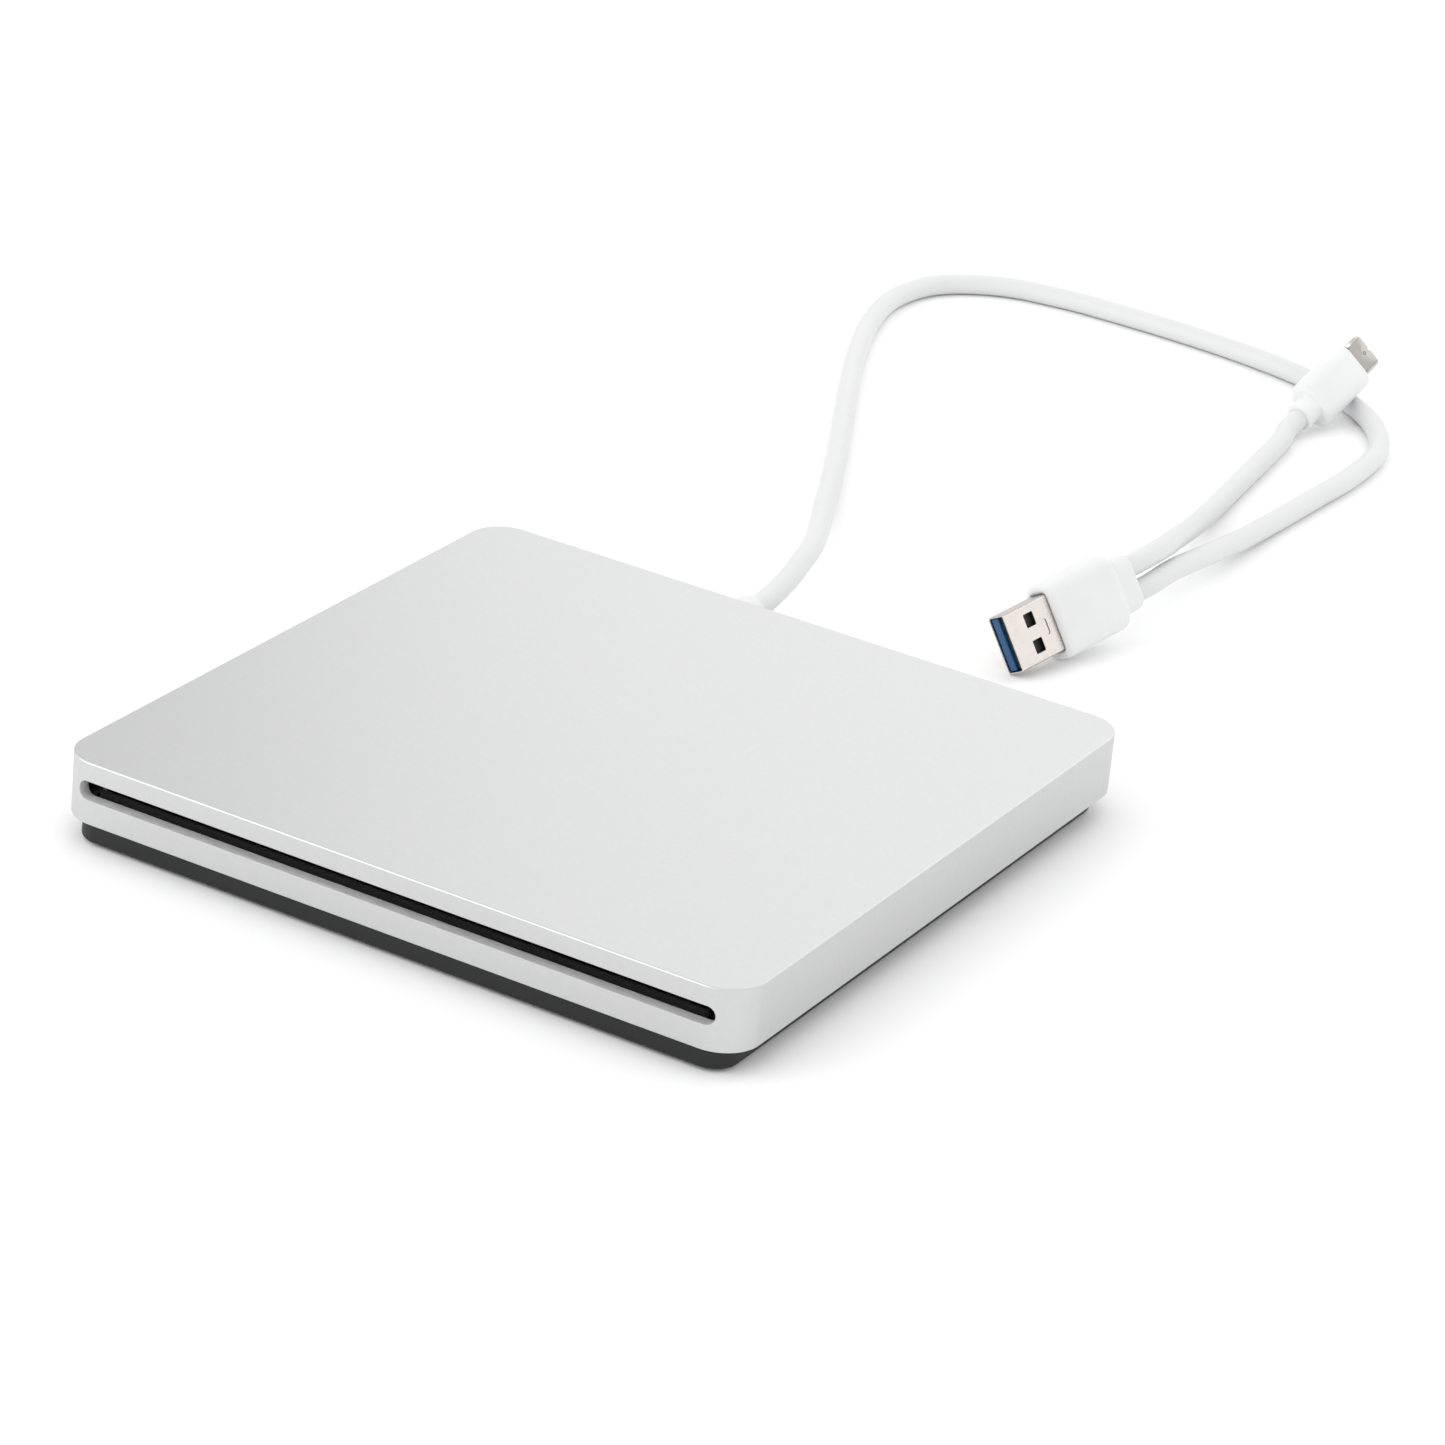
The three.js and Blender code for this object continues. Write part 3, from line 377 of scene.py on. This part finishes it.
def circuit_board():
    """Solder mask over copper tracks, with a speckle of vias."""
    made = new_material("circuit_board", (0.02, 0.12, 0.05), roughness=0.35)
    tracks = stripes(made, 1.4 * MM, "DIAGONAL")
    vary_colour(made, tracks, (0.012, 0.085, 0.035), (0.03, 0.17, 0.07), 0.45, 0.6)
    add_bumps(made, tracks, 0.02 * MM)
    add_bumps(made, cells(made, 2.2 * MM), 0.02 * MM)
    return made


def chip():
    return moulded_plastic("chip", (0.012, 0.012, 0.013), 0.55, 0.1 * MM, 0.006 * MM)


def ribbon():
    """Polyimide film over even copper strips."""
    made = new_material("ribbon", (0.5, 0.22, 0.05), roughness=0.35)
    strips = stripes(made, 1 * MM, "X")
    vary_colour(made, strips, (0.35, 0.13, 0.03), (0.62, 0.3, 0.08))
    add_bumps(made, strips, 0.03 * MM)
    return made


def lens_glass():
    made = new_material("lens", (0.12, 0.2, 0.42), roughness=0.04)
    shader_of(made).inputs["Coat Weight"].default_value = 1.0
    shader_of(made).inputs["Coat Roughness"].default_value = 0.03
    vary_colour(made, noise(made, 1.5 * MM), (0.08, 0.14, 0.34), (0.2, 0.22, 0.5))
    return made


def blue_insulator():
    return moulded_plastic("blue_insulator", (0.010, 0.075, 0.19), 0.35, 0.15 * MM, 0.004 * MM)


# Black connector plastic. The same finish is also used as painted shade on the wide plug's window plate and
# on the shells' recess walls.
def connector_black():
    return moulded_plastic("connector_black", (0.016, 0.016, 0.017), 0.5, 0.15 * MM, 0.006 * MM)


def plug_matrix(place):
    """Takes a plug from its own axes to where it lies; its nickel's grain runs along these axes too."""
    turn = Matrix.Rotation(math.radians(place["heading"]), 4, "Z")
    turn = turn @ Matrix.Rotation(math.radians(place["pitch"]), 4, "X")
    turn = turn @ Matrix.Rotation(math.radians(place["roll"]), 4, "Y")
    return Matrix.Translation(place["tip"]) @ turn


wide_matrix = plug_matrix(WIDE_PLACE)
narrow_matrix = plug_matrix(NARROW_PLACE)

finishes = {
    "aluminium": blasted_aluminium(),
    "cut_aluminium": cut_aluminium(),
    "black_plastic": black_plastic(),
    "rubber": rubber(),
    "felt": felt(),
    "sheet_steel": brushed_steel("sheet_steel", (0.56, 0.57, 0.58), 0.36),
    "cast_metal": cast_metal(),
    "bright_steel": brushed_steel("bright_steel", (0.72, 0.73, 0.74), 0.22),
    "acetal": acetal(),
    "mechanism_black": mechanism_black(),
    "lens": lens_glass(),
    "circuit_board": circuit_board(),
    "chip": chip(),
    "ribbon": ribbon(),
    "white_jacket": white_jacket(),
    "white_overmould": white_overmould(),
    # Each plug shell's broad faces and narrow sides are lit and shaded copies of one nickel: painted shade on
    # the wide plug's sides, painted highlight on the narrow plug's sides.
    "wide_nickel": plated("wide_nickel", (0.77, 0.72, 0.69), 0.24, wide_matrix.to_euler()),
    "wide_nickel_painted_shade": plated("wide_nickel_painted_shade", (0.47, 0.44, 0.415), 0.3, wide_matrix.to_euler()),
    "narrow_nickel": plated("narrow_nickel", (0.44, 0.418, 0.4), 0.26, narrow_matrix.to_euler()),
    "narrow_nickel_painted_highlight": plated("narrow_nickel_painted_highlight", (0.62, 0.575, 0.53), 0.2, narrow_matrix.to_euler()),
    "blue_insulator": blue_insulator(),
    "connector_black": connector_black(),
    "gold_contact": plated("gold_contact", (0.83, 0.62, 0.24), 0.25),
}

# ------------------------------------------------------------------ mesh helpers


def rounded_rect(width, height, radius, steps):
    """Points round a rectangle with round corners, anticlockwise, steps to a corner."""
    least = 0.01 * MM
    radius = min(max(radius, least), width / 2 - least, height / 2 - least)
    points = []
    for corner, (across, up) in enumerate(((1, 1), (-1, 1), (-1, -1), (1, -1))):
        for step in range(steps + 1):
            angle = math.pi / 2 * (corner + step / steps)
            x = across * (width / 2 - radius) + radius * math.cos(angle)
            y = up * (height / 2 - radius) + radius * math.sin(angle)
            points.append((x, y))
    return points


def soft_ends(start, end, front, back, steps=6):
    """(place, inset) pairs along an axis, full size between two rounded-over ends."""
    turns = [math.pi / 2 * step / steps for step in range(steps + 1)]
    leading = [(start + front * (1 - math.sin(t)), front * (1 - math.cos(t))) for t in reversed(turns)]
    trailing = [(end - back * (1 - math.sin(t)), back * (1 - math.cos(t))) for t in turns]
    return leading + trailing


def upright_rings(profile, width, depth, corner, steps, middle=(0, 0)):
    """Rings in level planes from (height, inset) pairs."""
    rings = []
    for height, inset in profile:
        outline = rounded_rect(width - 2 * inset, depth - 2 * inset, corner - inset, steps)
        rings.append([(x + middle[0], y + middle[1], height) for x, y in outline])
    return rings


def lying_rings(profile, width, height, corner, steps, middle=(0, 0)):
    """Rings across Y from (place along Y, inset) pairs."""
    rings = []
    for place, inset in profile:
        outline = rounded_rect(width - 2 * inset, height - 2 * inset, corner - inset, steps)
        rings.append([(x + middle[0], place, z + middle[1]) for x, z in outline])
    return rings


def new_object(name, build):
    mesh = bpy.data.meshes.new(name)
    bmesh.ops.recalc_face_normals(build, faces=build.faces)
    build.to_mesh(mesh)
    build.free()
    mesh.shade_smooth()
    made = bpy.data.objects.new(name, mesh)
    bpy.context.scene.collection.objects.link(made)
    return made


def loft(name, rings):
    """A closed skin over rings that have the same number of points."""
    build = bmesh.new()
    rows = [[build.verts.new(point) for point in ring] for ring in rings]
    for near, far in zip(rows, rows[1:]):
        for index in range(len(near)):
            after = (index + 1) % len(near)
            build.faces.new((near[index], near[after], far[after], far[index]))
    build.faces.new(rows[0])
    build.faces.new(rows[-1])
    return new_object(name, build)


def lathe(name, profile, sides=64):
    """A round piece about Z from (radius, height) pairs."""
    rings = []
    for radius, height in profile:
        turns = [2 * math.pi * side / sides for side in range(sides)]
        rings.append([(radius * math.cos(t), radius * math.sin(t), height) for t in turns])
    return loft(name, rings)


def settle(made):
    """Applies the piece's modifiers."""
    graph = bpy.context.evaluated_depsgraph_get()
    shaped = bpy.data.meshes.new_from_object(made.evaluated_get(graph))
    made.modifiers.clear()
    made.data = shaped
    shaped.name = made.name
    return made


def cut(made, *tools):
    """Takes the tools out of the piece, and removes them."""
    for tool in tools:
        difference = made.modifiers.new("cut", "BOOLEAN")
        difference.object = tool
        difference.operation = "DIFFERENCE"
        difference.solver = "EXACT"
        settle(made)
        bpy.data.objects.remove(tool)
    return made


def soften(made, width, segments=2, sharper_than=50):
    """Bevels the edges that turn by more than that many degrees."""
    bevel = made.modifiers.new("bevel", "BEVEL")
    bevel.width = width
    bevel.segments = segments
    bevel.limit_method = "ANGLE"
    bevel.angle_limit = math.radians(sharper_than)
    bevel.miter_outer = "MITER_ARC"
    return settle(made)


def finish_piece(made, finish, body="case"):
    """Gives the piece its material and smooth shading, and lets it ride on its body."""
    made.data.materials.clear()
    made.data.materials.append(finishes[finish])
    if made.type == "MESH":
        made.data.shade_smooth()
        made.modifiers.new("normals", "WEIGHTED_NORMAL").keep_sharp = True
    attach(made, body)
    return made


def near(face, middle, reach):
    """True if the face lies in the box that reaches that far from its middle."""
    away = face.center - middle
    return all(abs(distance) < limit for distance, limit in zip(away, reach))


def paint_faces(made, finish, chosen):
    """Gives the chosen faces another finish than the rest of the piece."""
    made.data.materials.append(finishes[finish])
    for face in made.data.polygons:
        if chosen(face):
            face.material_index = len(made.data.materials) - 1


# ------------------------------------------------------------------ camera, light and floor


def add_camera():
    azimuth = math.radians(CAMERA_AZIMUTH)
    elevation = math.radians(CAMERA_ELEVATION)
    level = math.cos(elevation)
    back = Vector((math.sin(azimuth) * level, -math.cos(azimuth) * level, math.sin(elevation)))
    right = back.cross(Vector((0, 0, -1))).normalized()
    up = back.cross(right)
    roll = math.radians(CAMERA_ROLL)
    rolled_right = math.cos(roll) * right + math.sin(roll) * up
    rolled_up = math.cos(roll) * up - math.sin(roll) * right
    data = bpy.data.cameras.new("camera")
    data.sensor_width = CAMERA_SENSOR_MM
    data.lens = CAMERA_LENS_MM
    camera = bpy.data.objects.new("camera", data)
    bpy.context.scene.collection.objects.link(camera)
    turn = Matrix((rolled_right, rolled_up, back)).transposed().to_4x4()
    camera.matrix_world = Matrix.Translation(CAMERA_TARGET + back * CAMERA_DISTANCE) @ turn
    bpy.context.scene.camera = camera


def add_softbox(name, place, target, size, power):
    data = bpy.data.lights.new(name, "AREA")
    data.shape = "RECTANGLE"
    data.size = size[0]
    data.size_y = size[1]
    data.energy = power
    light = bpy.data.objects.new(name, data)
    light.visible_camera = False
    light.location = place
    light.rotation_mode = "QUATERNION"
    light.rotation_quaternion = (Vector(target) - Vector(place)).to_track_quat("-Z", "Y")
    bpy.context.scene.collection.objects.link(light)


def add_lights():
    world = bpy.data.worlds.new("studio")
    world.use_nodes = True
    sky = world.node_tree.nodes["Background"]
    sky.inputs["Color"].default_value = (1, 1, 1, 1)
    place = world.node_tree.nodes.new("ShaderNodeTexCoord")
    facing = world.node_tree.nodes.new("ShaderNodeVectorMath")
    facing.operation = "DOT_PRODUCT"
    facing.inputs[1].default_value = STUDIO_DIM_SIDE.normalized()
    world.node_tree.links.new(place.outputs["Generated"], facing.inputs[0])
    strength = spread(world, facing.outputs["Value"], STUDIO_BRIGHTNESS, STUDIO_DIMMEST, 0.5, 0.95)
    world.node_tree.links.new(strength, sky.inputs["Strength"])
    bpy.context.scene.world = world
    for name, place, target, size, power in SOFTBOXES:
        add_softbox(name, place, target, size, power)


def add_floor():
    build = bmesh.new()
    bmesh.ops.create_grid(build, x_segments=8, y_segments=8, size=12)
    floor = new_object("floor", build)
    floor.data.materials.append(white_paper())


def white_paper():
    colour = (0.95, 0.95, 0.95)
    paper = new_material("paper", colour, roughness=0.9)
    vary_colour(paper, noise(paper, 300 * MM), shade(colour, 0.995), colour)
    shader_of(paper).inputs["Specular IOR Level"].default_value = 0
    return paper


# ------------------------------------------------------------------ cable


wide_length = WIDE["shown"] + WIDE["body"] + WIDE["neck"]
narrow_length = NARROW["shown"] + NARROW["body"] + NARROW["neck"]


def out_of(plug, length, side):
    """Points that carry a cable from its seat in a plug's neck straight out of it."""
    places = (length - SEAT_DEPTH, length + CABLE_GAP, length + 5 * MM)
    return [plug @ Vector((side, place, 0)) for place in places]


def smooth_line(points, step):
    """Points a step or less apart on the centripetal Catmull-Rom curve through the given ones."""
    ends = [2 * points[0] - points[1], 2 * points[-1] - points[-2]]
    padded = [ends[0], *points, ends[1]]
    line = []
    for before, start, end, after in zip(padded, padded[1:], padded[2:], padded[3:]):
        first, middle, last = (
            math.sqrt((b - a).length) for a, b in ((before, start), (start, end), (end, after))
        )
        leaving = (start - before) / first - (end - before) / (first + middle) + (end - start) / middle
        arriving = (end - start) / middle - (after - start) / (middle + last) + (after - end) / last
        count = math.ceil((end - start).length / step)
        for index in range(count):
            line.append(hermite(start, end, leaving * middle, arriving * middle, index / count))
    return [*line, points[-1]]


def hermite(start, end, leaving, arriving, share):
    squared = share * share
    cubed = squared * share
    return (
        start * (2 * cubed - 3 * squared + 1)
        + leaving * (cubed - 2 * squared + share)
        + end * (3 * squared - 2 * cubed)
        + arriving * (cubed - squared)
    )


def length_of(line):
    return sum((b - a).length for a, b in zip(line, line[1:]))


def add_cable(name, points):
    line = smooth_line(points, CABLE_STEP)
    data = bpy.data.curves.new(name, "CURVE")
    data.dimensions = "3D"
    data.bevel_depth = CABLE_RADIUS
    data.bevel_resolution = 7
    data.use_fill_caps = True
    spline = data.splines.new("POLY")
    spline.points.add(len(line) - 1)
    for point, place in zip(spline.points, line):
        point.co = (*place, 1)
    spline.use_smooth = True
    cable = bpy.data.objects.new(name, data)
    bpy.context.scene.collection.objects.link(cable)
    finish_piece(cable, "white_jacket")
    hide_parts(name.replace("jacket", "cable"))
    return cable, length_of(line)


def add_cables(relief, wide_pieces, narrow_pieces):
    relief_end = CABLE_EXIT + Vector((0, RELIEF_LENGTH, 0))
    seat = relief_end - Vector((0, SEAT_DEPTH, 0))
    into_wide = out_of(wide_matrix, wide_length, CABLE_PITCH / 2)
    route = [seat, *map(Vector, MAIN_ROUTE), *reversed(into_wide)]
    main, length = add_cable("main_jacket", route)
    from_wide = out_of(wide_matrix, wide_length, -CABLE_PITCH / 2)
    into_narrow = out_of(narrow_matrix, narrow_length, 0)
    route = [*from_wide, *map(Vector, BRANCH_ROUTE), *reversed(into_narrow)]
    branch, length = add_cable("branch_jacket", route)


# ------------------------------------------------------------------ case


def slot_tool(width, height, middle, start, end):
    rings = lying_rings([(start, 0), (end, 0)], width, height, height / 2, 16, middle)
    return loft("tool", rings)


def post_tool(x, y, radius, bottom, top, sides=48):
    tool = lathe("tool", [(radius, bottom), (radius, top)], sides)
    tool.location = (x, y, 0)
    return tool


def add_top_shell():
    low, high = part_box("top_shell")
    size = high.x - low.x
    outside = soft_ends(low.z, high.z, SHELL_RIM, SHELL_EDGE)
    roof = high.z - SHELL_ROOF
    halfway = (low.z + roof) / 2
    inside = [
        (place, SHELL_WALL - inset if place < halfway else SHELL_WALL + inset)
        for place, inset in soft_ends(low.z, roof, SHELL_RIM, SHELL_EDGE)
    ]
    profile = [*reversed(outside), *inside]
    shell = loft("shell", upright_rings(profile, size, size, CASE_CORNER, 20))
    middle = high.z - SLOT_BELOW_TOP - SLOT_HEIGHT / 2
    front = -size / 2
    slot = slot_tool(SLOT_LENGTH, SLOT_HEIGHT, (0, middle), front - MM, front + SHELL_WALL + MM)
    bore = 2 * (RELIEF_RADIUS + CABLE_GAP)
    back = size / 2
    hole = slot_tool(bore, bore, (CABLE_EXIT.x, CABLE_EXIT.z), back - SHELL_WALL - MM, back + MM)
    cut(shell, slot, hole)
    soften(shell, SLOT_BEVEL)
    finish_piece(shell, "aluminium")
    reach = Vector((SLOT_LENGTH, SHELL_WALL, SLOT_HEIGHT)) / 2 + Vector((0.05, 0, 0.05)) * MM
    slot_middle = Vector((0, front + SHELL_WALL / 2, middle))

    def on_slot_wall(face):
        return abs(face.normal.y) < 0.5 and near(face, slot_middle, reach)

    paint_faces(shell, "cut_aluminium", on_slot_wall)
    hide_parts("top_shell")


def screw_places():
    """Each foot's name with its middle; a case screw stands over every foot."""
    for name in nodes:
        if name.startswith("foot_"):
            low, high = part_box(name)
            yield name, (low + high) / 2


def add_base():
    low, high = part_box("base_cover")
    width = high.x - low.x
    front = -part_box("top_shell")[1].x + BASE_FRONT_INSET
    depth = high.y - front
    middle = (0, (high.y + front) / 2)
    slab = upright_rings(
        soft_ends(low.z, BASE_TOP, BASE_EDGE, SHELL_RIM), width, depth, BASE_CORNER, 16, middle
    )
    lip = upright_rings(soft_ends(BASE_TOP, high.z, 0, SHELL_RIM), width, width, BASE_CORNER, 16)
    inside = [(high.z, BASE_WALL - SHELL_RIM), (high.z - SHELL_RIM, BASE_WALL), (BASE_FLOOR, BASE_WALL)]
    hollow = upright_rings(inside, width, width, BASE_CORNER, 16)
    base = loft("base", [*slab, *lip, *hollow])
    notch = (CABLE_EXIT.x, CABLE_EXIT.z)
    tools = [slot_tool(NOTCH_WIDTH, NOTCH_HEIGHT, notch, high.y - 8 * MM, high.y + MM)]
    for _, place in screw_places():
        tools.append(post_tool(place.x, place.y, FOOT_RECESS, -MM, FOOT_RECESS_TOP))
        tools.append(post_tool(place.x, place.y, SCREW_HOLE, -MM, BASE_FLOOR + MM))
    cut(base, *tools)
    soften(base, SHELL_RIM)
    finish_piece(base, "black_plastic")
    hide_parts("base_cover")


def add_feet():
    for name, place in list(screw_places()):
        low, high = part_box(name)
        radius = (high.x - low.x) / 2
        dish = FOOT_DISH_SHARE * radius
        dish_top = low.z + FOOT_DISH
        rings = [(0.02 * MM, dish_top), (dish, dish_top), (dish + FOOT_DISH, low.z)]
        outside = soft_ends(low.z, high.z, FOOT_EDGE, FOOT_EDGE)
        rings += [(radius - inset, height) for height, inset in outside]
        foot = lathe(name.replace("foot", "pad"), rings)
        foot.location = (place.x, place.y, 0)
        finish_piece(foot, "rubber")
        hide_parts(name)


def add_strain_relief():
    """A moulded sleeve round the cable, from its flange inside the wall to its soft end."""
    bore = CABLE_RADIUS + RELIEF_BORE_GAP
    end = soft_ends(-SHELL_WALL, RELIEF_LENGTH, 0.1 * MM, 0.7 * MM)
    sleeve = [(RELIEF_RADIUS - inset, place) for place, inset in end]
    flange = soft_ends(-SHELL_WALL - FLANGE_INSIDE, -SHELL_WALL - FLANGE_GAP, 0.3 * MM, 0.2 * MM)
    root = [(RELIEF_FLANGE - inset, place) for place, inset in flange]
    seat = [(bore, RELIEF_LENGTH), (bore, RELIEF_LENGTH - SEAT_DEPTH)]
    relief = lathe("relief_sleeve", [*root, *sleeve, *seat])
    relief.location = CABLE_EXIT
    relief.rotation_euler.x = -math.pi / 2
    finish_piece(relief, "white_overmould")
    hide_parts("strain_relief")
    return relief


# ------------------------------------------------------------------ plugs


def overmould_rings(plug, size, neck, corner, neck_corner, front, shoulder):
    """The grip's rings: round front edge, round shoulder, a small fillet and the neck behind it."""
    start = plug["shown"]
    back = start + plug["body"]
    end = back + plug["neck"]
    fillet = 0.6 * MM
    kept = 0.82
    steps = 8
    turns = [math.pi / 2 * step / steps for step in range(steps + 1)]
    sections = [(start + front * (1 - math.sin(t)), front * (1 - math.cos(t)), 0) for t in reversed(turns)]
    sections += [(back - shoulder * (1 - math.sin(t)), 0, kept * (1 - math.cos(t))) for t in turns]
    sections += [(back + fillet * (1 - math.cos(t)), 0, kept + (1 - kept) * math.sin(t)) for t in turns[1:]]
    edge = 0.7 * MM
    sections += [(end - edge * (1 - math.sin(t)), edge * (1 - math.cos(t)), 1) for t in turns]
    rings = []
    for place, inset, share in sections:
        width = size[0] + (neck[0] - size[0]) * share - 2 * inset
        height = size[1] + (neck[1] - size[1]) * share - 2 * inset
        radius = corner + (neck_corner - corner) * share - inset
        rings.append([(x, place, z) for x, z in rounded_rect(width, height, radius, 12)])
    return rings


def socket_rings(plug, corner, clearance, depth):
    """The pocket that the metal shell stands in, from its floor to the grip's front."""
    width = plug["width"] + 2 * clearance
    height = plug["height"] + 2 * clearance
    places = [(plug["shown"] + depth, 0), (plug["shown"], 0)]
    return lying_rings(places, width, height, corner, 12)


def shell_rings(plug, corner, sheet, depth):
    """A folded metal shell: its inside from the far end to the tip, then its outside back again."""
    edge = 0.12 * MM
    hidden = plug["shown"] + depth
    places = [
        (hidden - sheet, sheet),
        (edge, sheet),
        (0, sheet * 0.75),
        (0, sheet * 0.35),
        (edge, 0),
        (hidden, 0),
    ]
    return lying_rings(places, plug["width"], plug["height"], corner, 12)


def paint_shell_sides_light_and_shade(shell, matrix, finish):
    """Paints the narrow sides of a plug's metal shell a darker or lighter copy of its nickel: painted shade
    or painted highlight.
    """
    across = matrix.to_3x3().col[0]
    paint_faces(shell, finish, lambda face: abs(face.normal.dot(across)) > 0.5)


def paint_recess_shade(shell, matrix, place, reach):
    """Paints the walls of a recess in a plug's broad face black, as painted shade."""
    through_face = matrix.to_3x3().col[2]
    middle = matrix @ Vector(place)

    def on_wall(face):
        away = face.center - middle
        return away.length < reach and abs(face.normal.dot(through_face)) < 0.7 and away.dot(through_face) < 0

    paint_faces(shell, "connector_black", on_wall)


def place_plug_piece(made, matrix, finish, *stands_for):
    made.data.transform(matrix)
    finish_piece(made, finish)
    if stands_for:
        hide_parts(*stands_for)
    return made


def upright_tool(width, depth, corner, x, y, bottom, top):
    rings = upright_rings([(bottom, 0), (top, 0)], width, depth, corner, 8, (x, y))
    return loft("tool", rings)


def wide_metal_shell(lock_place):
    """The wide plug's folded shell, with its two windows and the lock slot pressed between them."""
    shell = loft("wide_shell", shell_rings(WIDE, WIDE_CORNER, sheet=0.3 * MM, depth=1.1 * MM))
    top = lock_place.z
    window = WIDE_WINDOW
    windows = [
        upright_tool(*window["size"], window["corner"], side * window["x"], window["y"], top - MM, top + MM)
        for side in (-1, 1)
    ]
    lock_floor = top - WIDE_LOCK["depth"]
    lock = upright_tool(*WIDE_LOCK["size"], WIDE_LOCK["corner"], *lock_place.xy, lock_floor, top + MM)
    cut(shell, *windows, lock)
    soften(shell, 0.05 * MM)
    return shell


def wide_contacts():
    """Gold strips on the tongue. The first one stands for the CAD node that holds them all."""
    pieces = []
    for index, x in enumerate(CONTACT_PLACES):
        profile = soft_ends(1.2 * MM, 9 * MM, 0.1 * MM, 0.1 * MM)
        strip = lying_rings(profile, *CONTACT_SIZE, 0.08 * MM, 3, (x, 0.2 * MM))
        contact = loft(f"wide_contact_{index + 1}", strip)
        stands_for = ["usb_a_contacts"] if index == 0 else []
        pieces.append(place_plug_piece(contact, wide_matrix, "gold_contact", *stands_for))
    return pieces


def add_wide_plug():
    grip_rings = overmould_rings(
        WIDE,
        size=(16 * MM, 8 * MM),
        neck=(12 * MM, 6.4 * MM),
        corner=2.8 * MM,
        neck_corner=3 * MM,
        front=1.3 * MM,
        shoulder=2.4 * MM,
    )
    pocket = socket_rings(WIDE, WIDE_CORNER, clearance=0.1 * MM, depth=1.2 * MM)
    grip = loft("wide_grip", [*pocket, *grip_rings])
    lock_place = Vector((0, WIDE_LOCK["y"], WIDE["height"] / 2))
    shell = wide_metal_shell(lock_place)
    # A black plate under the two windows is painted shade: it stands in for the shade inside the shell.
    painted_shade_profile = soft_ends(0.9 * MM, 8.4 * MM, 0.08 * MM, 0.08 * MM)
    painted_shade_rings = lying_rings(painted_shade_profile, 11 * MM, 0.7 * MM, 0.1 * MM, 3, (0, 0.75 * MM))
    painted_shade_plate = loft("wide_shade", painted_shade_rings)
    tongue_profile = soft_ends(0.35 * MM, 12.8 * MM, 0.25 * MM, 0.1 * MM)
    tongue_rings = lying_rings(tongue_profile, 11.1 * MM, 1.9 * MM, 0.2 * MM, 4, (0, -0.85 * MM))
    tongue = loft("wide_tongue", tongue_rings)
    pieces = [
        place_plug_piece(grip, wide_matrix, "white_overmould", "usb_a_overmould"),
        place_plug_piece(shell, wide_matrix, "wide_nickel", "usb_a_shell"),
        place_plug_piece(painted_shade_plate, wide_matrix, "connector_black"),
        place_plug_piece(tongue, wide_matrix, "blue_insulator", "usb_a_insulator"),
    ]
    # The wide shell's narrow sides get a darker copy of its nickel as painted shade.
    paint_shell_sides_light_and_shade(shell, wide_matrix, "wide_nickel_painted_shade")
    # The lock slot's walls get painted shade.
    paint_recess_shade(shell, wide_matrix, lock_place, 2 * MM)
    return pieces + wide_contacts()


def add_narrow_plug():
    corner = NARROW["height"] / 2
    grip_rings = overmould_rings(
        NARROW,
        size=(11.4 * MM, 6.2 * MM),
        neck=(6.4 * MM, 6.2 * MM),
        corner=2.9 * MM,
        neck_corner=3.05 * MM,
        front=0.8 * MM,
        shoulder=1.8 * MM,
    )
    pocket = socket_rings(NARROW, corner, clearance=0.08 * MM, depth=1 * MM)
    grip = loft("narrow_grip", [*pocket, *grip_rings])
    shell = loft("narrow_shell", shell_rings(NARROW, corner, sheet=0.25 * MM, depth=0.9 * MM))
    face = NARROW["height"] / 2
    dimple_place = Vector((0, NARROW_DIMPLE["y"], face))
    dimple_floor = face - NARROW_DIMPLE["depth"]
    dimple = post_tool(*dimple_place.xy, NARROW_DIMPLE["radius"], dimple_floor, face + MM, 24)
    notch_floor = face - NARROW_NOTCH["depth"]
    notch = upright_tool(*NARROW_NOTCH["size"], NARROW_NOTCH["corner"], 0, 0, notch_floor, face + MM)
    gate_y = narrow_length - GATE_MARK["from_end"]
    gate = post_tool(GATE_MARK["x"], gate_y, GATE_MARK["radius"], GATE_MARK["bottom"], GATE_MARK["top"], 24)
    cut(shell, dimple, notch)
    cut(grip, gate)
    liner_places = [
        (6 * MM, 0.55 * MM),
        (0.7 * MM, 0.55 * MM),
        (0.5 * MM, 0.45 * MM),
        (0.45 * MM, 0.02 * MM),
        (6.9 * MM, 0.02 * MM),
    ]
    inner_width = NARROW["width"] - 0.5 * MM
    inner_height = NARROW["height"] - 0.5 * MM
    liner = loft("narrow_liner", lying_rings(liner_places, inner_width, inner_height, corner, 10))
    pieces = [
        place_plug_piece(grip, narrow_matrix, "white_overmould", "usb_c_overmould"),
        place_plug_piece(shell, narrow_matrix, "narrow_nickel", "usb_c_shell"),
        place_plug_piece(liner, narrow_matrix, "connector_black", "usb_c_insulator"),
    ]
    # The narrow shell's narrow sides get a lighter copy of its nickel as painted highlight.
    paint_shell_sides_light_and_shade(shell, narrow_matrix, "narrow_nickel_painted_highlight")
    # The dimple's walls get painted shade.
    paint_recess_shade(shell, narrow_matrix, dimple_place, 0.8 * MM)
    return pieces


# ------------------------------------------------------------------ inner pieces


def paint_cad_nodes():
    """Every CAD node that still shows gets the material of its slot in the record."""
    slots = {part["node"]: part["material_slot"] for part in frame["record"]["subparts"]}
    for name, node in nodes.items():
        if not node.hide_render:
            node.data.materials.clear()
            node.data.materials.append(finishes[slots[name]])


add_camera()
add_cables(add_strain_relief(), add_wide_plug(), add_narrow_plug())
add_top_shell()
add_base()
add_feet()
paint_cad_nodes()
add_lights()
add_floor()
bpy.context.scene.view_settings.view_transform = "Standard"
